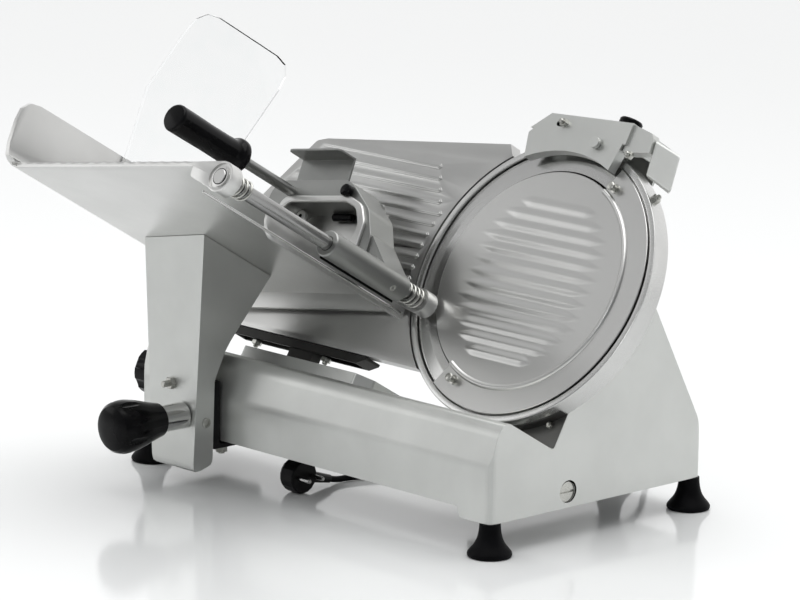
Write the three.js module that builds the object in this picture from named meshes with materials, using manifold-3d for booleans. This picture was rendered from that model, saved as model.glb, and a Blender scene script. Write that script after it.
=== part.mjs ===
// Gravity feed food slicer: a round blade leaning back in its guard, a ribbed gauge plate beside it,
// and a carriage with tray and pusher that runs along the front beam of a cast base.
// Millimetres, +Z up. The operator stands at the left end (-X) and food lies on the front side (-Y).
import * as THREE from 'three';
import * as BufferGeometryUtils from 'three/addons/utils/BufferGeometryUtils.js';
import Module from 'manifold-3d';

const wasm = await Module();
wasm.setup();

// Fits and facets
const clearance = 0.3;
const runningGap = 1.5;
const cutOverrun = 8;
const weldTolerance = 1e-4;
const roundSides = 28;
const midSides = 18;
const smallSides = 12;
const filletSteps = 3;

// Knife plane: everything on it is placed by distance along X, behind the plane, and up the plane
const knifeTilt = THREE.MathUtils.degToRad(30.58);
const bladeRadius = 150;
const bladeThickness = 3;
const bladeSetBack = 2;
const bladeEdgeWidth = 14;
const bladeEdgeThickness = 0.6;
const bladeBoreRadius = 20;

// Base casting: a beam along the front and a tower for the motor at the right end
const baseRightEnd = 100;
const beamLeftEnd = -447;
const towerLeftEnd = -60;
const beamDepth = 118;
const castingWall = 5;
const footHeight = 35;
const skirtHeight = 46.4;
const skirtLeftStep = -384;
const skirtRightStep = 58;
const skirtStepSlope = 7;
const ridgeHeight = 137.47;
const ridgeInset = 18;
const ridgeWidth = 8.57;
const ridgeBackBehind = -48.6;
const foldDrop = 43.47;
const foldHeight = ridgeHeight - foldDrop;
const shoulderDrop = 8.47;
const shoulderHeight = ridgeHeight - shoulderDrop;
const shoulderInset = 10;
const towerFaceBehind = 25;
const towerTopUp = 38;
const towerKneeHeight = 96.4;
const planCornerRadius = 9;
const foldRadius = 40;
const ridgeRadius = 5;
const valleyRadius = 4;
const towerTopRadius = 12;
const kneeRadius = 26;

// Feet
const footInset = 9;
const rearLeftFootInset = 36;
const footBaseRadius = 23.4;
const footStudRadius = 4;
const footSides = 16;
const footStudReach = 14;
const footBossRadius = 12;
const footBossHeight = 26;
const footProfileShares = [[0, 0], [0.96, 0], [1, 0.06], [0.96, 0.15], [0.72, 0.4], [0.54, 0.7],
  [0.47, 1]];

// Bottom cover of the motor bay and the slotted plug in the end wall
const coverSheet = 1.3;
const coverInset = 6;
const accessPlugRadius = 11;
const accessPlugDepth = 112;
const accessPlugHeight = 52;
const accessPlugRecess = 1.2;
const accessPlugLength = 7;
const accessPlugFlange = 2.5;
const accessSlotWidth = 2.2;
const accessSlotDepth = 1.8;

// Blade guard ring with its back web
const guardBladeGap = 1.6;
const guardInnerRadius = bladeRadius + guardBladeGap;
const guardRimWidth = 7.4;
const guardOuterRadius = guardInnerRadius + guardRimWidth;
const guardFrontBehind = 1;
const guardWebBehind = 19;
const guardWebBore = 46;
const guardRimChamfer = 1.4;
const guardNotchInnerRadius = 112;
const guardNotchStart = THREE.MathUtils.degToRad(67);
const guardNotchEnd = THREE.MathUtils.degToRad(111);

// The knife plane's centre: the guard clears the beam's slope, which starts at the back of the ridge
const guardBeamGap = 5.3;
const beamSlopeUp = -guardOuterRadius - guardBeamGap;
const knifeCentreDepth = ridgeInset + ridgeWidth - ridgeBackBehind * Math.cos(knifeTilt)
  - beamSlopeUp * Math.sin(knifeTilt);
const knifeCentreHeight = ridgeHeight + ridgeBackBehind * Math.sin(knifeTilt)
  - beamSlopeUp * Math.cos(knifeTilt);

// Blade cover with pressed ribs
const coverFrontAhead = 2;
const coverBackBehind = 1;
const coverDiscRadius = 123;
const coverRimWidth = 3;
const coverRimRise = 1.2;
const segmentInnerRadius = 119;
const segmentOuterRadius = 148;
const segmentFrontAhead = 1;
const segmentStart = THREE.MathUtils.degToRad(-119);
const segmentEnd = THREE.MathUtils.degToRad(65);
const coverRibPitch = 15.5;
const coverRibWidth = 7;
const coverRibRise = 1.6;
const coverRibFieldRadius = 104;
const coverRibFieldHalfLength = 84;
const coverBossRadius = 4;
const coverBossReach = 20;
const coverStudRadius = 5;
const coverStudLength = 6;
const coverStudPlaceRadius = 132;
const coverStudAngles = [THREE.MathUtils.degToRad(60.5), THREE.MathUtils.degToRad(-110.5)];

// Blade spindle and its bearings
const spindleRadius = 7.5;
const spindleBoreRadius = coverBossRadius + 2 * clearance;
const spindleFlangeRadius = 35;
const spindleFlangeThickness = 8;
const spindleEndBehind = 72;
const bearingOuterRadius = 17.5;
const bearingWidth = 11;
const bearingHousingRadius = 22;
const bearingHousingFlangeRadius = 42;
const bearingHousingFlangeThickness = 4.4;
const bearingHousingEndBehind = 58;
const bearingFrontBehind = 27;
const bearingRearBehind = 46;

// Belt drive and motor
const pulleyFrontBehind = 44;
const pulleyWidth = 15;
const pulleyRimThickness = 3.6;
const pulleyWebThickness = 4.5;
const pulleyHubRadius = 12;
const pulleyHubLength = 6;
const drivenPulleyRadius = 29;
const motorPulleyRadius = 11;
const motorAcross = 30;
const motorUp = -95;
const motorRadius = 45;
const motorLength = 88;
const motorEndRounding = 8;
const motorShaftRadius = 6;
const motorShaftInset = 18;
const motorPlateThickness = 4;
const motorPlateHalf = 48;
const motorPlateBore = 20;
const motorPostRadius = 5;
const motorPostInset = 7;
const motorRearRoom = 51.65;
const beltThickness = 3;
const beltWidth = 12;

// Tower: its top stands over the spindle's end and its back leaves room for the motor
const motorFrontBehind = pulleyFrontBehind + pulleyWidth + 2 * runningGap + motorPlateThickness;
const motorBackBehind = motorFrontBehind + clearance + motorLength;
const motorBackDepth = knifeCentreDepth + motorBackBehind * Math.cos(knifeTilt)
  + (motorUp + motorRadius) * Math.sin(knifeTilt);
const baseDepth = motorBackDepth + motorRearRoom + castingWall;
const towerKneeInset = 5;
const towerKneeDepth = baseDepth - towerKneeInset;
const towerTopReach = 64;
const towerTopDepth = knifeCentreDepth + towerTopReach;
const towerTopRise = 16.8;
const towerTopHeight = knifeCentreHeight + towerTopRise;

// Tie rod that holds the blade cover from behind the tower
const tieRodRadius = 4;
const tieTipRadius = 2.7;
const tieTipLength = 14;
const tieNeckRadius = 7;
const tieKnobRadius = 19;
const tieKnobBehind = 160;
const tieKnobLength = 24;
const tieNeckBehind = 138;
const tieKnobProfileShares = [[0.9, 0], [1, 0.2], [1, 0.75], [0.8, 1]];
const tieHoleRadius = 8.5;

// Gauge plate
const plateSheet = 5;
const plateRibRise = 1.5;
const plateRimDepth = 16;
const plateBottomUp = -120.5;
const plateLeftAcross = -450;
const plateLeftLowUp = -24;
const plateLeftHighAcross = -443;
const plateLeftHighUp = 21;
const plateShoulderAcross = -389;
const plateShoulderUp = 104;
const plateTopLeftAcross = -374;
const plateTopLeftUp = 108.6;
const plateTopRightAcross = -105;
const plateTopRightUp = 142;
const plateEdgeGap = 2;
const plateCornerRadius = 10;
const plateRibPitch = 12.9;
const plateRibWidth = 6.5;
const plateRibTopUp = 102;
const plateRibCount = 13;
const plateRibEdgeMargin = 11;
const plateRibStairUp = 63;
const plateRibStairAcross = -171;
const plateRibStairShare = 0.53;
const plateRibLeftMargin = 16;

// Gauge carrier, slide and guide inside the beam
const carrierLeft = -398;
const carrierRight = -186;
const carrierFrontBehind = 4;
const carrierDepth = 24;
const carrierHeight = 9.5;
const carrierWall = 3;
const carrierNose = 12;
const postLeft = -304;
const postRight = -267;
const postFrontBehind = 6;
const postDepth = 15;
const gaugeTravel = 15;
const turretLeft = -345;
const turretRight = -150;
const turretFrontBehind = -21;
const turretBackBehind = 43;
const turretRise = 18;
const turretNose = 16;
const slideBlockLeft = -328;
const slideBlockRight = -243;
const slideBlockFrontBehind = 0;
const slideBlockDepth = 26;
const slideBlockTopUp = -180;
const slideBlockBottomUp = -197;
const guideRodRadius = 5;
const guideRodUp = -188.5;
const guideRodInset = 12;
const guidePlateThickness = 6;
const guideFrontBehind = -30;
const guideBackBehind = 44;
const guideFit = 0.4;
const slideArmThickness = 10;
const slideArmEnd = -421;

// Thickness knob and its scroll
const thicknessAxisDepth = 37;
const thicknessAxisDrop = 45.07;
const thicknessAxisHeight = ridgeHeight - thicknessAxisDrop;
const thicknessKnobRadius = 27;
const thicknessKnobLength = 29;
const thicknessKnobLobes = 7;
const thicknessLobeRadius = 9;
const thicknessShaftRadius = 6;
const thicknessKnobRim = 3;
const thicknessLobeShare = 0.62;
const thicknessKnobProfileShares = [[0.75, 0], [1, 0.2], [1, 0.9], [0.85, 1]];
const scrollRadius = 24;
const scrollThickness = 7;
const scrollAcross = -433;
const scrollPinRadius = 2.5;
const scrollStartRadius = 5.4;
const scrollTurns = THREE.MathUtils.degToRad(330);
const scrollSlack = 0.5;
const scrollGrooveDepth = 5;
const scrollSteps = 32;

// Carriage slide under the beam
const slideRodRadius = 8;
const slideRodDepth = 40;
const slideRodDrop = 80.47;
const slideRodHeight = ridgeHeight - slideRodDrop;
const steadyRodRadius = 6;
const steadyRodDepth = 62;
const steadyRodDrop = 2;
const steadyRodHeight = slideRodHeight - steadyRodDrop;
const runnerLeft = -375;
const runnerRight = -315;
const runnerFrontDepth = 26;
const runnerBackDepth = 73;
const runnerDrop = 13.7;
const runnerRise = 13;
const runnerBottom = slideRodHeight - runnerDrop;
const runnerTop = slideRodHeight + runnerRise;
const bushWall = 2.5;
const bracketThickness = 5;
const bracketLegThickness = 9.6;
const bracketLegFrontDepth = -11.2;
const bracketLegHeight = 75;
const bracketFootDepth = 66;
const bracketRight = -314;
const bracketLeft = -372;
const boltRadius = 4;
const boltHeadAcrossCorners = 14;
const boltHeadHeight = 6;
const boltWasherRadius = 9;
const boltWasherThickness = 1.6;
const boltStubLength = 2;
const boltAcross = -328;
const boltDepth = 13;

// Carriage arm
const armTopLeft = -405;
const armTopRight = -306.8;
const armBottomLeft = -381.4;
const armBottomRight = -314.4;
const armBottom = 13;
const armFrontBottomDepth = -39.5;
const armFrontTopDepth = -32;
const armTopHeight = 279;
const armBackDepth = -11.5;
const armBackLow = 22;
const armElbowLow = 115;
const armElbowDepth = 2;
const armElbowHeight = 144.5;
const armElbowUpperDepth = 10.5;
const armElbowUpperHeight = 156.5;
const armTipDepth = 66;
const armTipHeight = 220.5;
const armCornerRadius = 9;
const armWall = 7;
const armWindowBottom = 122;
const armFlange = 9;
const armSpareHeight = 40;

// Arm lock
const lockAcross = -332;
const lockHeight = 77.8;
const lockSleeveRadius = 14.5;
const lockSleeveLength = 35;
const lockSpigotRadius = 8;
const lockSpigotReach = 12;
const lockKnobLength = 68;
const lockKnobRadius = 29;
const lockKnobNeckRadius = 18;
const lockFlutes = 8;
const lockFluteRadius = 9;
const lockFluteBite = 1.8;
const lockFluteEndShare = 0.12;
const lockSleeveRim = 1.5;
const lockKnobProfileShares = [[0.62, 0], [0.66, 0.06], [0.8, 0.3], [0.95, 0.55], [1, 0.72], [0.95, 0.86],
  [0.76, 0.96], [0.4, 1], [0, 1]];

// Carriage tray, turned about the depth direction so that its right edge is higher
const trayTurn = THREE.MathUtils.degToRad(9);
const trayOriginAcross = -310;
const trayOriginUp = -72.8;
const trayLeft = -125;
const trayRight = 162;
const trayAhead = 350;
const trayNear = 5;
const traySheet = 5;
const trayWallHeight = 76;
const trayWallOverhang = 12;
const trayWallAhead = trayAhead + trayWallOverhang;
const trayWallCorner = 26;
const trayFillet = 12;
const trayCornerRadius = 10;
const trayRibRise = 2;
const trayRibWidth = 9;
const trayRibPitch = 17;
const trayRibStartShare = 0.7;
const trayCutMargin = 2;
const trayLipDepth = 18;
const trayLipThickness = 4;
const traySkirtDepth = 28;
const traySkirtSetBack = 110;
const traySkirtAhead = trayAhead - traySkirtSetBack;
const traySkirtRadius = 20;

// Pusher rod and its two lugs on the tray
const rodAcross = 192.6;
const rodUp = -11.5;
const rodRadius = 8;
const lugOuterAhead = trayAhead;
const lugOuterDepth = 16;
const lugOuterRadius = 17;
const lugInnerAhead = 8;
const lugInnerDepth = 16;
const lugInnerRadius = 14;
const lugArmHalf = 11;
const lugCornerShare = 0.7;
const lugSeatDepth = 10;
const lugCapRadius = 11;
const lugCapDepth = 2;
const springWireRadius = 1.4;
const springMeanRadius = 10.6;
const springCurls = 3.5;
const springLength = 26;
const springSteps = 8;
const springSides = 5;

// Pusher casting
const sleeveNearAhead = 55;
const sleeveFarAhead = 178;
const sleeveRadius = 14.6;
const sleeveTangentShare = 0.7;
const pusherFaceAhead = 100;
const pusherBackAhead = 60;
const pusherWall = 6;
const pusherLeft = -2;
const pusherBottomUp = 8.5;
const pusherTopUp = 94;
const pusherTopLeft = 11;
const pusherTopRight = 122;
const pusherShoulderAcross = 171;
const pusherShoulderUp = 34;
const pusherCornerRadius = 22;
const handLeft = 39;
const handRight = 142;
const handBottomUp = 24;
const handTopUp = 65;
const handCornerRadius = 16;

// Pressing plate with spikes
const pressSheet = 2.5;
const pressLeft = 0;
const pressRight = 140;
const pressTopRight = 77;
const pressStepUp = 84;
const pressTopUp = 138;
const pressFlange = 28;
const pressCornerRadius = 6;
const spikeLength = 7;
const spikeHalf = 3;
const spikeColumns = 6;
const spikeRows = 3;
const spikeMarginAcross = 14;
const spikeMarginUp = 12;

// Pusher handle and lock screw
const gripAcross = 41;
const gripUp = 80;
const gripRadius = 15.5;
const gripStemLength = 100;
const gripLength = 97;
const gripStartAhead = pusherFaceAhead + gripStemLength;
const gripEndAhead = gripStartAhead + gripLength;
const gripRounding = 4;
const gripDiscRadius = 20;
const gripDiscThickness = 6;
const gripNeckRadius = 11;
const gripStudRadius = 6;
const gripStudReach = 30;
const lockScrewAcross = 124;
const lockScrewUp = 80;
const lockScrewHeadRadius = 9;
const lockScrewHeadLength = 14;
const lockScrewRadius = 4;
const lockScrewProfileShares = [[0.8, 0], [1, 0.3], [1, 0.8], [0.7, 1]];

// Clear hand guard on the tray's wall
const shieldSheet = 4;
const shieldBottomUp = 30;
const shieldBendUp = 160;
const shieldTopReach = 106;
const shieldBend = THREE.MathUtils.degToRad(26);
const shieldNearAhead = 45;
const shieldFarAhead = 203;
const shieldCornerRadius = 30;

// Blade sharpener
const sharpenerFrontAhead = 15;
const apronBackAhead = 3;
const sharpenerWall = 3.2;
const apronArcRadius = 141.5;
const apronLeftLow = -63.4;
const apronLeftMid = -71;
const apronLeftMidUp = 154;
const apronShoulder = -49.3;
const apronShoulderUp = 179.5;
const apronTopUp = 184.5;
const apronRight = 67;
const apronRightLow = 58;
const apronChamferAcross = 94;
const apronChamferUp = 178;
const apronFoldAcross = 74;
const apronFoldUp = 153;
const roofBackBehind = 52;
const roofInnerUp = 163;
const hoodOpenDepth = 16;
const postBoreDepth = 24;
const sharpenerCornerRadius = 5;
const boxLeft = 98;
const boxFoldUp = 173;
const boxSeat = 16;
const boxRight = 140.5;
const boxRightUp = 161;
const boxLowRight = 147;
const boxLowRightUp = 119;
const boxLowLeft = 104;
const boxLowLeftUp = 133;
const boxFrontAhead = 9;
const boxBackBehind = 24;
const postAcross = 12;
const postBehind = 38;
const postRadius = 8;
const postBossRadius = 13;
const postBaseUp = 31;
const postTopGap = 4;
const clampKnobRadius = 11;
const clampKnobHeight = 16;
const clampKnobProfileShares = [[0.6, 0], [1, 0.35], [1, 0.8], [0.8, 1]];
const stoneRadius = 20;
const stoneThickness = 9;
const stoneBore = 5;
const grindAcross = -24;
const grindUp = 150;
const grindFrontBehind = 8.2;
const truingAcross = 30;
const truingUp = 154.6;
const truingRadius = 12;
const truingBackBehind = 0.6;
const truingThickness = 7;
const stoneShaftRadius = 4.5;
const stoneButtonRadius = 9;
const stoneButtonLength = 12;
const truingButtonRadius = 6.3;
const stoneTravel = 2.6;

// Switch on the left end wall
const switchDepthNear = 76;
const switchDepthFar = 106;
const switchBottom = 50;
const switchTop = 76;
const switchBody = 24;
const switchBezel = 2;
const switchBezelMargin = 5;
const buttonRadius = 5.5;
const buttonProud = 4;
const buttonTravel = 3;
const buttonStem = 12;

// Mains cord, plug and strain relief
const cordRadius = 3.5;
const cordSides = 8;
const cordStepShare = 3.6;
const reliefAcross = -46;
const reliefHeight = 52;
const reliefNeckRadius = 6;
const reliefNeckLength = 9;
const reliefFlangeRadius = 10;
const reliefFlangeThickness = 3;
const reliefLength = 32;
const reliefTipRadius = 4.8;
const coilDepth = 425;
const coilOuterRadius = 48;
const coilPitch = 7.7;
const coilTurnsPerLayer = 2;
const coilLift = 7.7;
const coilStepsPerTurn = 24;
const coilSides = 6;
const coilDip = 2.4;
const coilAcross = reliefAcross - coilOuterRadius;
const plugAcross = -230;
const plugDepth = 35.5;
const plugRadius = 18.4;
const plugLength = 24;
const plugRounding = 3;
const plugPinRadius = 2.3;
const plugPinLength = 19;
const plugPinSpacing = 19;
const plugNeckRadius = 7;
const plugNeckTipRadius = 4.6;
const plugNeckLength = 30;
const plugNeckSunk = 6;
const plugFloorGap = 0.1;
const plugNeckTurn = THREE.MathUtils.degToRad(14);

// Route of the cord from the strain relief to the coil, and from the coil to the plug's neck
const reliefRoute = [
  [-46, 348.6, 52], [-46, 355.6, 52], [-46, 368.5, 48.9], [-46, 378.5, 40.1], [-46, 383.4, 27.8],
  [-46, 388.2, 15.5],
  [-46, 398.2, 6.8], [-46, 411, 3.6],
];
const plugRoute = [
  [-142, 411, 11.3], [-142.5, 397, 10.6], [-144, 379, 8.5], [-147, 359, 5.8], [-151.5, 338, 4.1],
  [-158, 312, 3.6], [-167, 278, 3.6], [-177.5, 243, 3.6], [-189.5, 208, 3.6], [-202, 176, 3.6],
  [-214.5, 147, 3.6], [-225, 122, 3.6], [-229.3, 106, 3.7], [-230, 96.5, 4], [-230, 89.5, 5.1],
];

// Materials, taken from how each surface looks
function finish(colour, roughness, metalness) {
  return new THREE.MeshStandardMaterial({ color: colour, roughness, metalness });
}
const castAluminium = () => finish(0xb9bcb7, 0.42, 0.85);
const anodisedSheet = () => finish(0xaeb1ad, 0.34, 0.9);
const polishedSteel = () => finish(0xc6c8c6, 0.22, 1);
const darkSteel = () => finish(0x44433f, 0.5, 0.7);
const blackPlastic = () => finish(0x121213, 0.32, 0);
const blackRubber = () => finish(0x0e0e0f, 0.62, 0);
const clearAcrylic = () => finish(0xf3f6f6, 0.06, 0);
const bronze = () => finish(0x9c7a48, 0.45, 0.8);
const abrasive = () => finish(0x8c8a84, 0.95, 0);
const painted = () => finish(0x33373a, 0.55, 0.4);
const greenPlastic = () => finish(0x1f6b3a, 0.35, 0);
const redPlastic = () => finish(0x8f1d1a, 0.35, 0);

// A closed geometry becomes a solid; slivers that collapse on a pole are dropped first
function toSolid(geometry) {
  const bare = geometry.clone();
  bare.deleteAttribute('normal');
  bare.deleteAttribute('uv');
  const merged = BufferGeometryUtils.mergeVertices(bare, weldTolerance);
  const corners = merged.index.array;
  const kept = [];
  for (let i = 0; i < corners.length; i += 3) {
    const [a, b, c] = [corners[i], corners[i + 1], corners[i + 2]];
    if (a !== b && b !== c && c !== a) kept.push(a, b, c);
  }
  const points = Float32Array.from(merged.attributes.position.array);
  const build = (triangles) => new wasm.Manifold(new wasm.Mesh({
    numProp: 3, vertProperties: points, triVerts: Uint32Array.from(triangles),
  }));
  const solid = build(kept);
  if (solid.volume() > 0) return solid;
  const turned = [];
  for (let i = 0; i < kept.length; i += 3) turned.push(kept[i], kept[i + 2], kept[i + 1]);
  return build(turned);
}

function toGeometry(solid) {
  const mesh = solid.getMesh();
  const geometry = new THREE.BufferGeometry();
  geometry.setAttribute('position', new THREE.BufferAttribute(Float32Array.from(mesh.vertProperties), 3));
  geometry.setIndex(new THREE.BufferAttribute(Uint32Array.from(mesh.triVerts), 1));
  geometry.computeVertexNormals();
  return geometry;
}

const joined = (solids) => solids.reduce((whole, solid) => whole.add(solid));
const without = (solid, cuts) => cuts.reduce((rest, cut) => rest.subtract(cut), solid);

// Turns an extrusion or revolution made along one axis onto another
const axisMatrices = {
  x: new THREE.Matrix4()
    .makeBasis(new THREE.Vector3(0, 1, 0), new THREE.Vector3(0, 0, 1), new THREE.Vector3(1, 0, 0)),
  y: new THREE.Matrix4()
    .makeBasis(new THREE.Vector3(1, 0, 0), new THREE.Vector3(0, 0, 1), new THREE.Vector3(0, 1, 0)),
  z: new THREE.Matrix4(),
};

// Outlines lie in YZ for axis x, XZ for axis y and XY for axis z
function prism(points, axis, from, to, holes = []) {
  const shape = new THREE.Shape(points.map(([u, v]) => new THREE.Vector2(u, v)));
  for (const hole of holes) {
    shape.holes.push(new THREE.Path(hole.map(([u, v]) => new THREE.Vector2(u, v))));
  }
  const geometry = new THREE.ExtrudeGeometry(shape, { depth: to - from, bevelEnabled: false, steps: 1 });
  geometry.translate(0, 0, from);
  geometry.applyMatrix4(axisMatrices[axis]);
  return toSolid(geometry);
}

function block(x0, x1, y0, y1, z0, z1) {
  const geometry = new THREE.BoxGeometry(x1 - x0, y1 - y0, z1 - z0);
  geometry.translate((x0 + x1) / 2, (y0 + y1) / 2, (z0 + z1) / 2);
  return toSolid(geometry);
}

// A profile of [radius, place along the axis] pairs, turned about a line through the centre
function turned(profile, axis, centre, sides = roundSides, ring = false) {
  const points = profile.map(([radius, along]) => new THREE.Vector2(radius, along));
  if (ring) points.push(points[0].clone());
  const geometry = new THREE.LatheGeometry(points, sides);
  const upright = new THREE.Matrix4().makeRotationX(Math.PI / 2);
  geometry.applyMatrix4(upright);
  geometry.applyMatrix4(axisMatrices[axis]);
  geometry.translate(...centre);
  return toSolid(geometry);
}

// A profile given in shares of a radius and of the way from one place to another
function profileOf(shares, radius, from, to) {
  return shares.map(([radiusShare, lengthShare]) => [
    radius * radiusShare, from + (to - from) * lengthShare]);
}

function rod(radius, axis, from, to, centre, sides = midSides) {
  return turned([[0, from], [radius, from], [radius, to], [0, to]], axis, centre, sides);
}

function pipe(outer, inner, axis, from, to, centre, sides = midSides) {
  return turned([[inner, from], [outer, from], [outer, to], [inner, to]], axis, centre, sides, true);
}

function signedArea(points) {
  return points.reduce((sum, [u, v], i) => {
    const [nextU, nextV] = points[(i + 1) % points.length];
    return sum + (u * nextV - nextU * v) / 2;
  }, 0);
}

// Moves every edge of an outline inwards by one distance
function inset(points, distance) {
  const side = Math.sign(signedArea(points));
  const count = points.length;
  const edges = points.map(([u, v], i) => {
    const [nextU, nextV] = points[(i + 1) % count];
    const length = Math.hypot(nextU - u, nextV - v);
    const direction = [(nextU - u) / length, (nextV - v) / length];
    const normal = [-direction[1] * side, direction[0] * side];
    return { start: [u + normal[0] * distance, v + normal[1] * distance], direction };
  });
  return points.map((_, i) => {
    const a = edges[(i + count - 1) % count];
    const b = edges[i];
    const cross = a.direction[0] * b.direction[1] - a.direction[1] * b.direction[0];
    if (Math.abs(cross) < 1e-6) return b.start;
    const gap = [b.start[0] - a.start[0], b.start[1] - a.start[1]];
    const reach = (gap[0] * b.direction[1] - gap[1] * b.direction[0]) / cross;
    return [a.start[0] + a.direction[0] * reach, a.start[1] + a.direction[1] * reach];
  });
}

// Rounds the corners of an outline; a fillet never takes more than its share of an edge
function rounded(points, radii, steps = filletSteps) {
  const edgeShare = 0.48;
  const count = points.length;
  return points.flatMap(([u, v], i) => {
    const radius = Array.isArray(radii) ? radii[i] : radii;
    if (!radius) return [[u, v]];
    const corner = new THREE.Vector2(u, v);
    const before = new THREE.Vector2(...points[(i + count - 1) % count]).sub(corner);
    const after = new THREE.Vector2(...points[(i + 1) % count]).sub(corner);
    const half = before.angleTo(after) / 2;
    const limit = Math.min(before.length(), after.length()) * edgeShare;
    const reach = Math.min(radius / Math.tan(half), limit);
    const start = corner.clone().addScaledVector(before.normalize(), reach);
    const end = corner.clone().addScaledVector(after.normalize(), reach);
    const curve = new THREE.QuadraticBezierCurve(start, corner, end);
    return curve.getPoints(steps).map((point) => [point.x, point.y]);
  });
}

function arcPoints(radius, from, to, steps) {
  return Array.from({ length: steps + 1 }, (_, i) => {
    const angle = from + ((to - from) * i) / steps;
    return [radius * Math.cos(angle), radius * Math.sin(angle)];
  });
}

// A round tube through given points, closed by flat ends
function tubeThrough(points, radius, sides) {
  const centres = points.map((point) => new THREE.Vector3(...point));
  const count = centres.length;
  const tangents = centres.map((_, i) => centres[Math.min(i + 1, count - 1)].clone()
    .sub(centres[Math.max(i - 1, 0)]).normalize());
  let normal = new THREE.Vector3(0, 0, 1).cross(tangents[0]).normalize();
  const positions = [];
  centres.forEach((centre, i) => {
    normal = normal.clone().addScaledVector(tangents[i], -normal.dot(tangents[i])).normalize();
    const binormal = tangents[i].clone().cross(normal);
    for (let k = 0; k < sides; k += 1) {
      const angle = (2 * Math.PI * k) / sides;
      const point = centre.clone().addScaledVector(normal, radius * Math.cos(angle))
        .addScaledVector(binormal, radius * Math.sin(angle));
      positions.push(point.x, point.y, point.z);
    }
  });
  const triangles = [];
  for (let i = 0; i + 1 < count; i += 1) {
    for (let k = 0; k < sides; k += 1) {
      const a = i * sides + k;
      const b = i * sides + ((k + 1) % sides);
      triangles.push(a, b, b + sides, a, b + sides, a + sides);
    }
  }
  const last = (count - 1) * sides;
  for (let k = 1; k + 1 < sides; k += 1) {
    triangles.push(0, k + 1, k);
    triangles.push(last, last + k, last + k + 1);
  }
  const geometry = new THREE.BufferGeometry();
  geometry.setAttribute('position', new THREE.Float32BufferAttribute(positions, 3));
  geometry.setIndex(triangles);
  return toSolid(geometry);
}

// Least distance between two turns of a wound tube, less its diameter
function leastGap(points, radius, neighbours) {
  let least = Infinity;
  for (let i = 0; i < points.length; i += 1) {
    for (let j = i + neighbours; j < points.length; j += 1) {
      const distance = Math.hypot(points[i][0] - points[j][0], points[i][1] - points[j][1],
        points[i][2] - points[j][2]);
      least = Math.min(least, distance - 2 * radius);
    }
  }
  return least;
}

// Groups: the whole object, the knife plane, and the tray that is turned on that plane
const slicer = new THREE.Group();
const knifePlane = new THREE.Group();
knifePlane.position.set(0, knifeCentreDepth, knifeCentreHeight);
knifePlane.rotation.x = -knifeTilt;
slicer.add(knifePlane);
const trayPlane = new THREE.Group();
trayPlane.position.set(trayOriginAcross, 0, trayOriginUp);
trayPlane.rotation.y = -trayTurn;
knifePlane.add(trayPlane);
slicer.updateMatrixWorld(true);

function piece(name, solid, material, parent = slicer) {
  const mesh = new THREE.Mesh(toGeometry(solid), material);
  mesh.name = name;
  parent.add(mesh);
  return mesh;
}

// Brings a solid drawn on the knife plane or the tray into the base's frame
const inBaseFrame = (solid, group) => solid.transform(group.matrixWorld.elements);

// Where a line across the knife plane meets the YZ plane of the base
function knifePoint(behind, up) {
  return [
    knifeCentreDepth + behind * Math.cos(knifeTilt) + up * Math.sin(knifeTilt),
    knifeCentreHeight - behind * Math.sin(knifeTilt) + up * Math.cos(knifeTilt),
  ];
}

function knifeCoordinates(depth, height) {
  const [y, z] = [depth - knifeCentreDepth, height - knifeCentreHeight];
  return [
    y * Math.cos(knifeTilt) - z * Math.sin(knifeTilt),
    y * Math.sin(knifeTilt) + z * Math.cos(knifeTilt),
  ];
}

// Base casting
const frontOutline = () => [
  [0, footHeight], [0, foldHeight], [shoulderInset, shoulderHeight], [ridgeInset, ridgeHeight],
  knifePoint(ridgeBackBehind, beamSlopeUp),
];
const frontRadii = [0, foldRadius, foldRadius, ridgeRadius, ridgeRadius];

function beamSlopeEnd() {
  const behind = (beamDepth - knifeCentreDepth - beamSlopeUp * Math.sin(knifeTilt)) / Math.cos(knifeTilt);
  return knifePoint(behind, beamSlopeUp);
}

function beamOutline() {
  return {
    points: [...frontOutline(), beamSlopeEnd(), [beamDepth, footHeight]],
    radii: [...frontRadii, ridgeRadius, 0],
  };
}

function towerOutline() {
  return {
    points: [
      ...frontOutline(), knifePoint(towerFaceBehind, beamSlopeUp),
        knifePoint(towerFaceBehind, towerTopUp),
      [towerTopDepth, towerTopHeight], [towerKneeDepth, towerKneeHeight], [baseDepth, footHeight],
    ],
    radii: [...frontRadii, valleyRadius, towerTopRadius, towerTopRadius, kneeRadius, 0],
  };
}

function cavityOf({ points, radii }) {
  const inner = inset(points, castingWall);
  const last = inner.length - 1;
  inner[0] = [inner[0][0], footHeight - cutOverrun];
  inner[last] = [inner[last][0], footHeight - cutOverrun];
  return rounded(inner, radii);
}

const footPlaces = {
  foot_front_left: [beamLeftEnd + footInset, footInset],
  foot_front_right: [baseRightEnd - footInset, footInset],
  foot_rear_left: [towerLeftEnd + rearLeftFootInset, baseDepth - footInset],
  foot_rear_right: [baseRightEnd - footInset, baseDepth - footInset],
};

function planOutline(left, right, front, back) {
  return rounded([[left, front], [right, front], [right, back], [left, back]], planCornerRadius);
}

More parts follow.
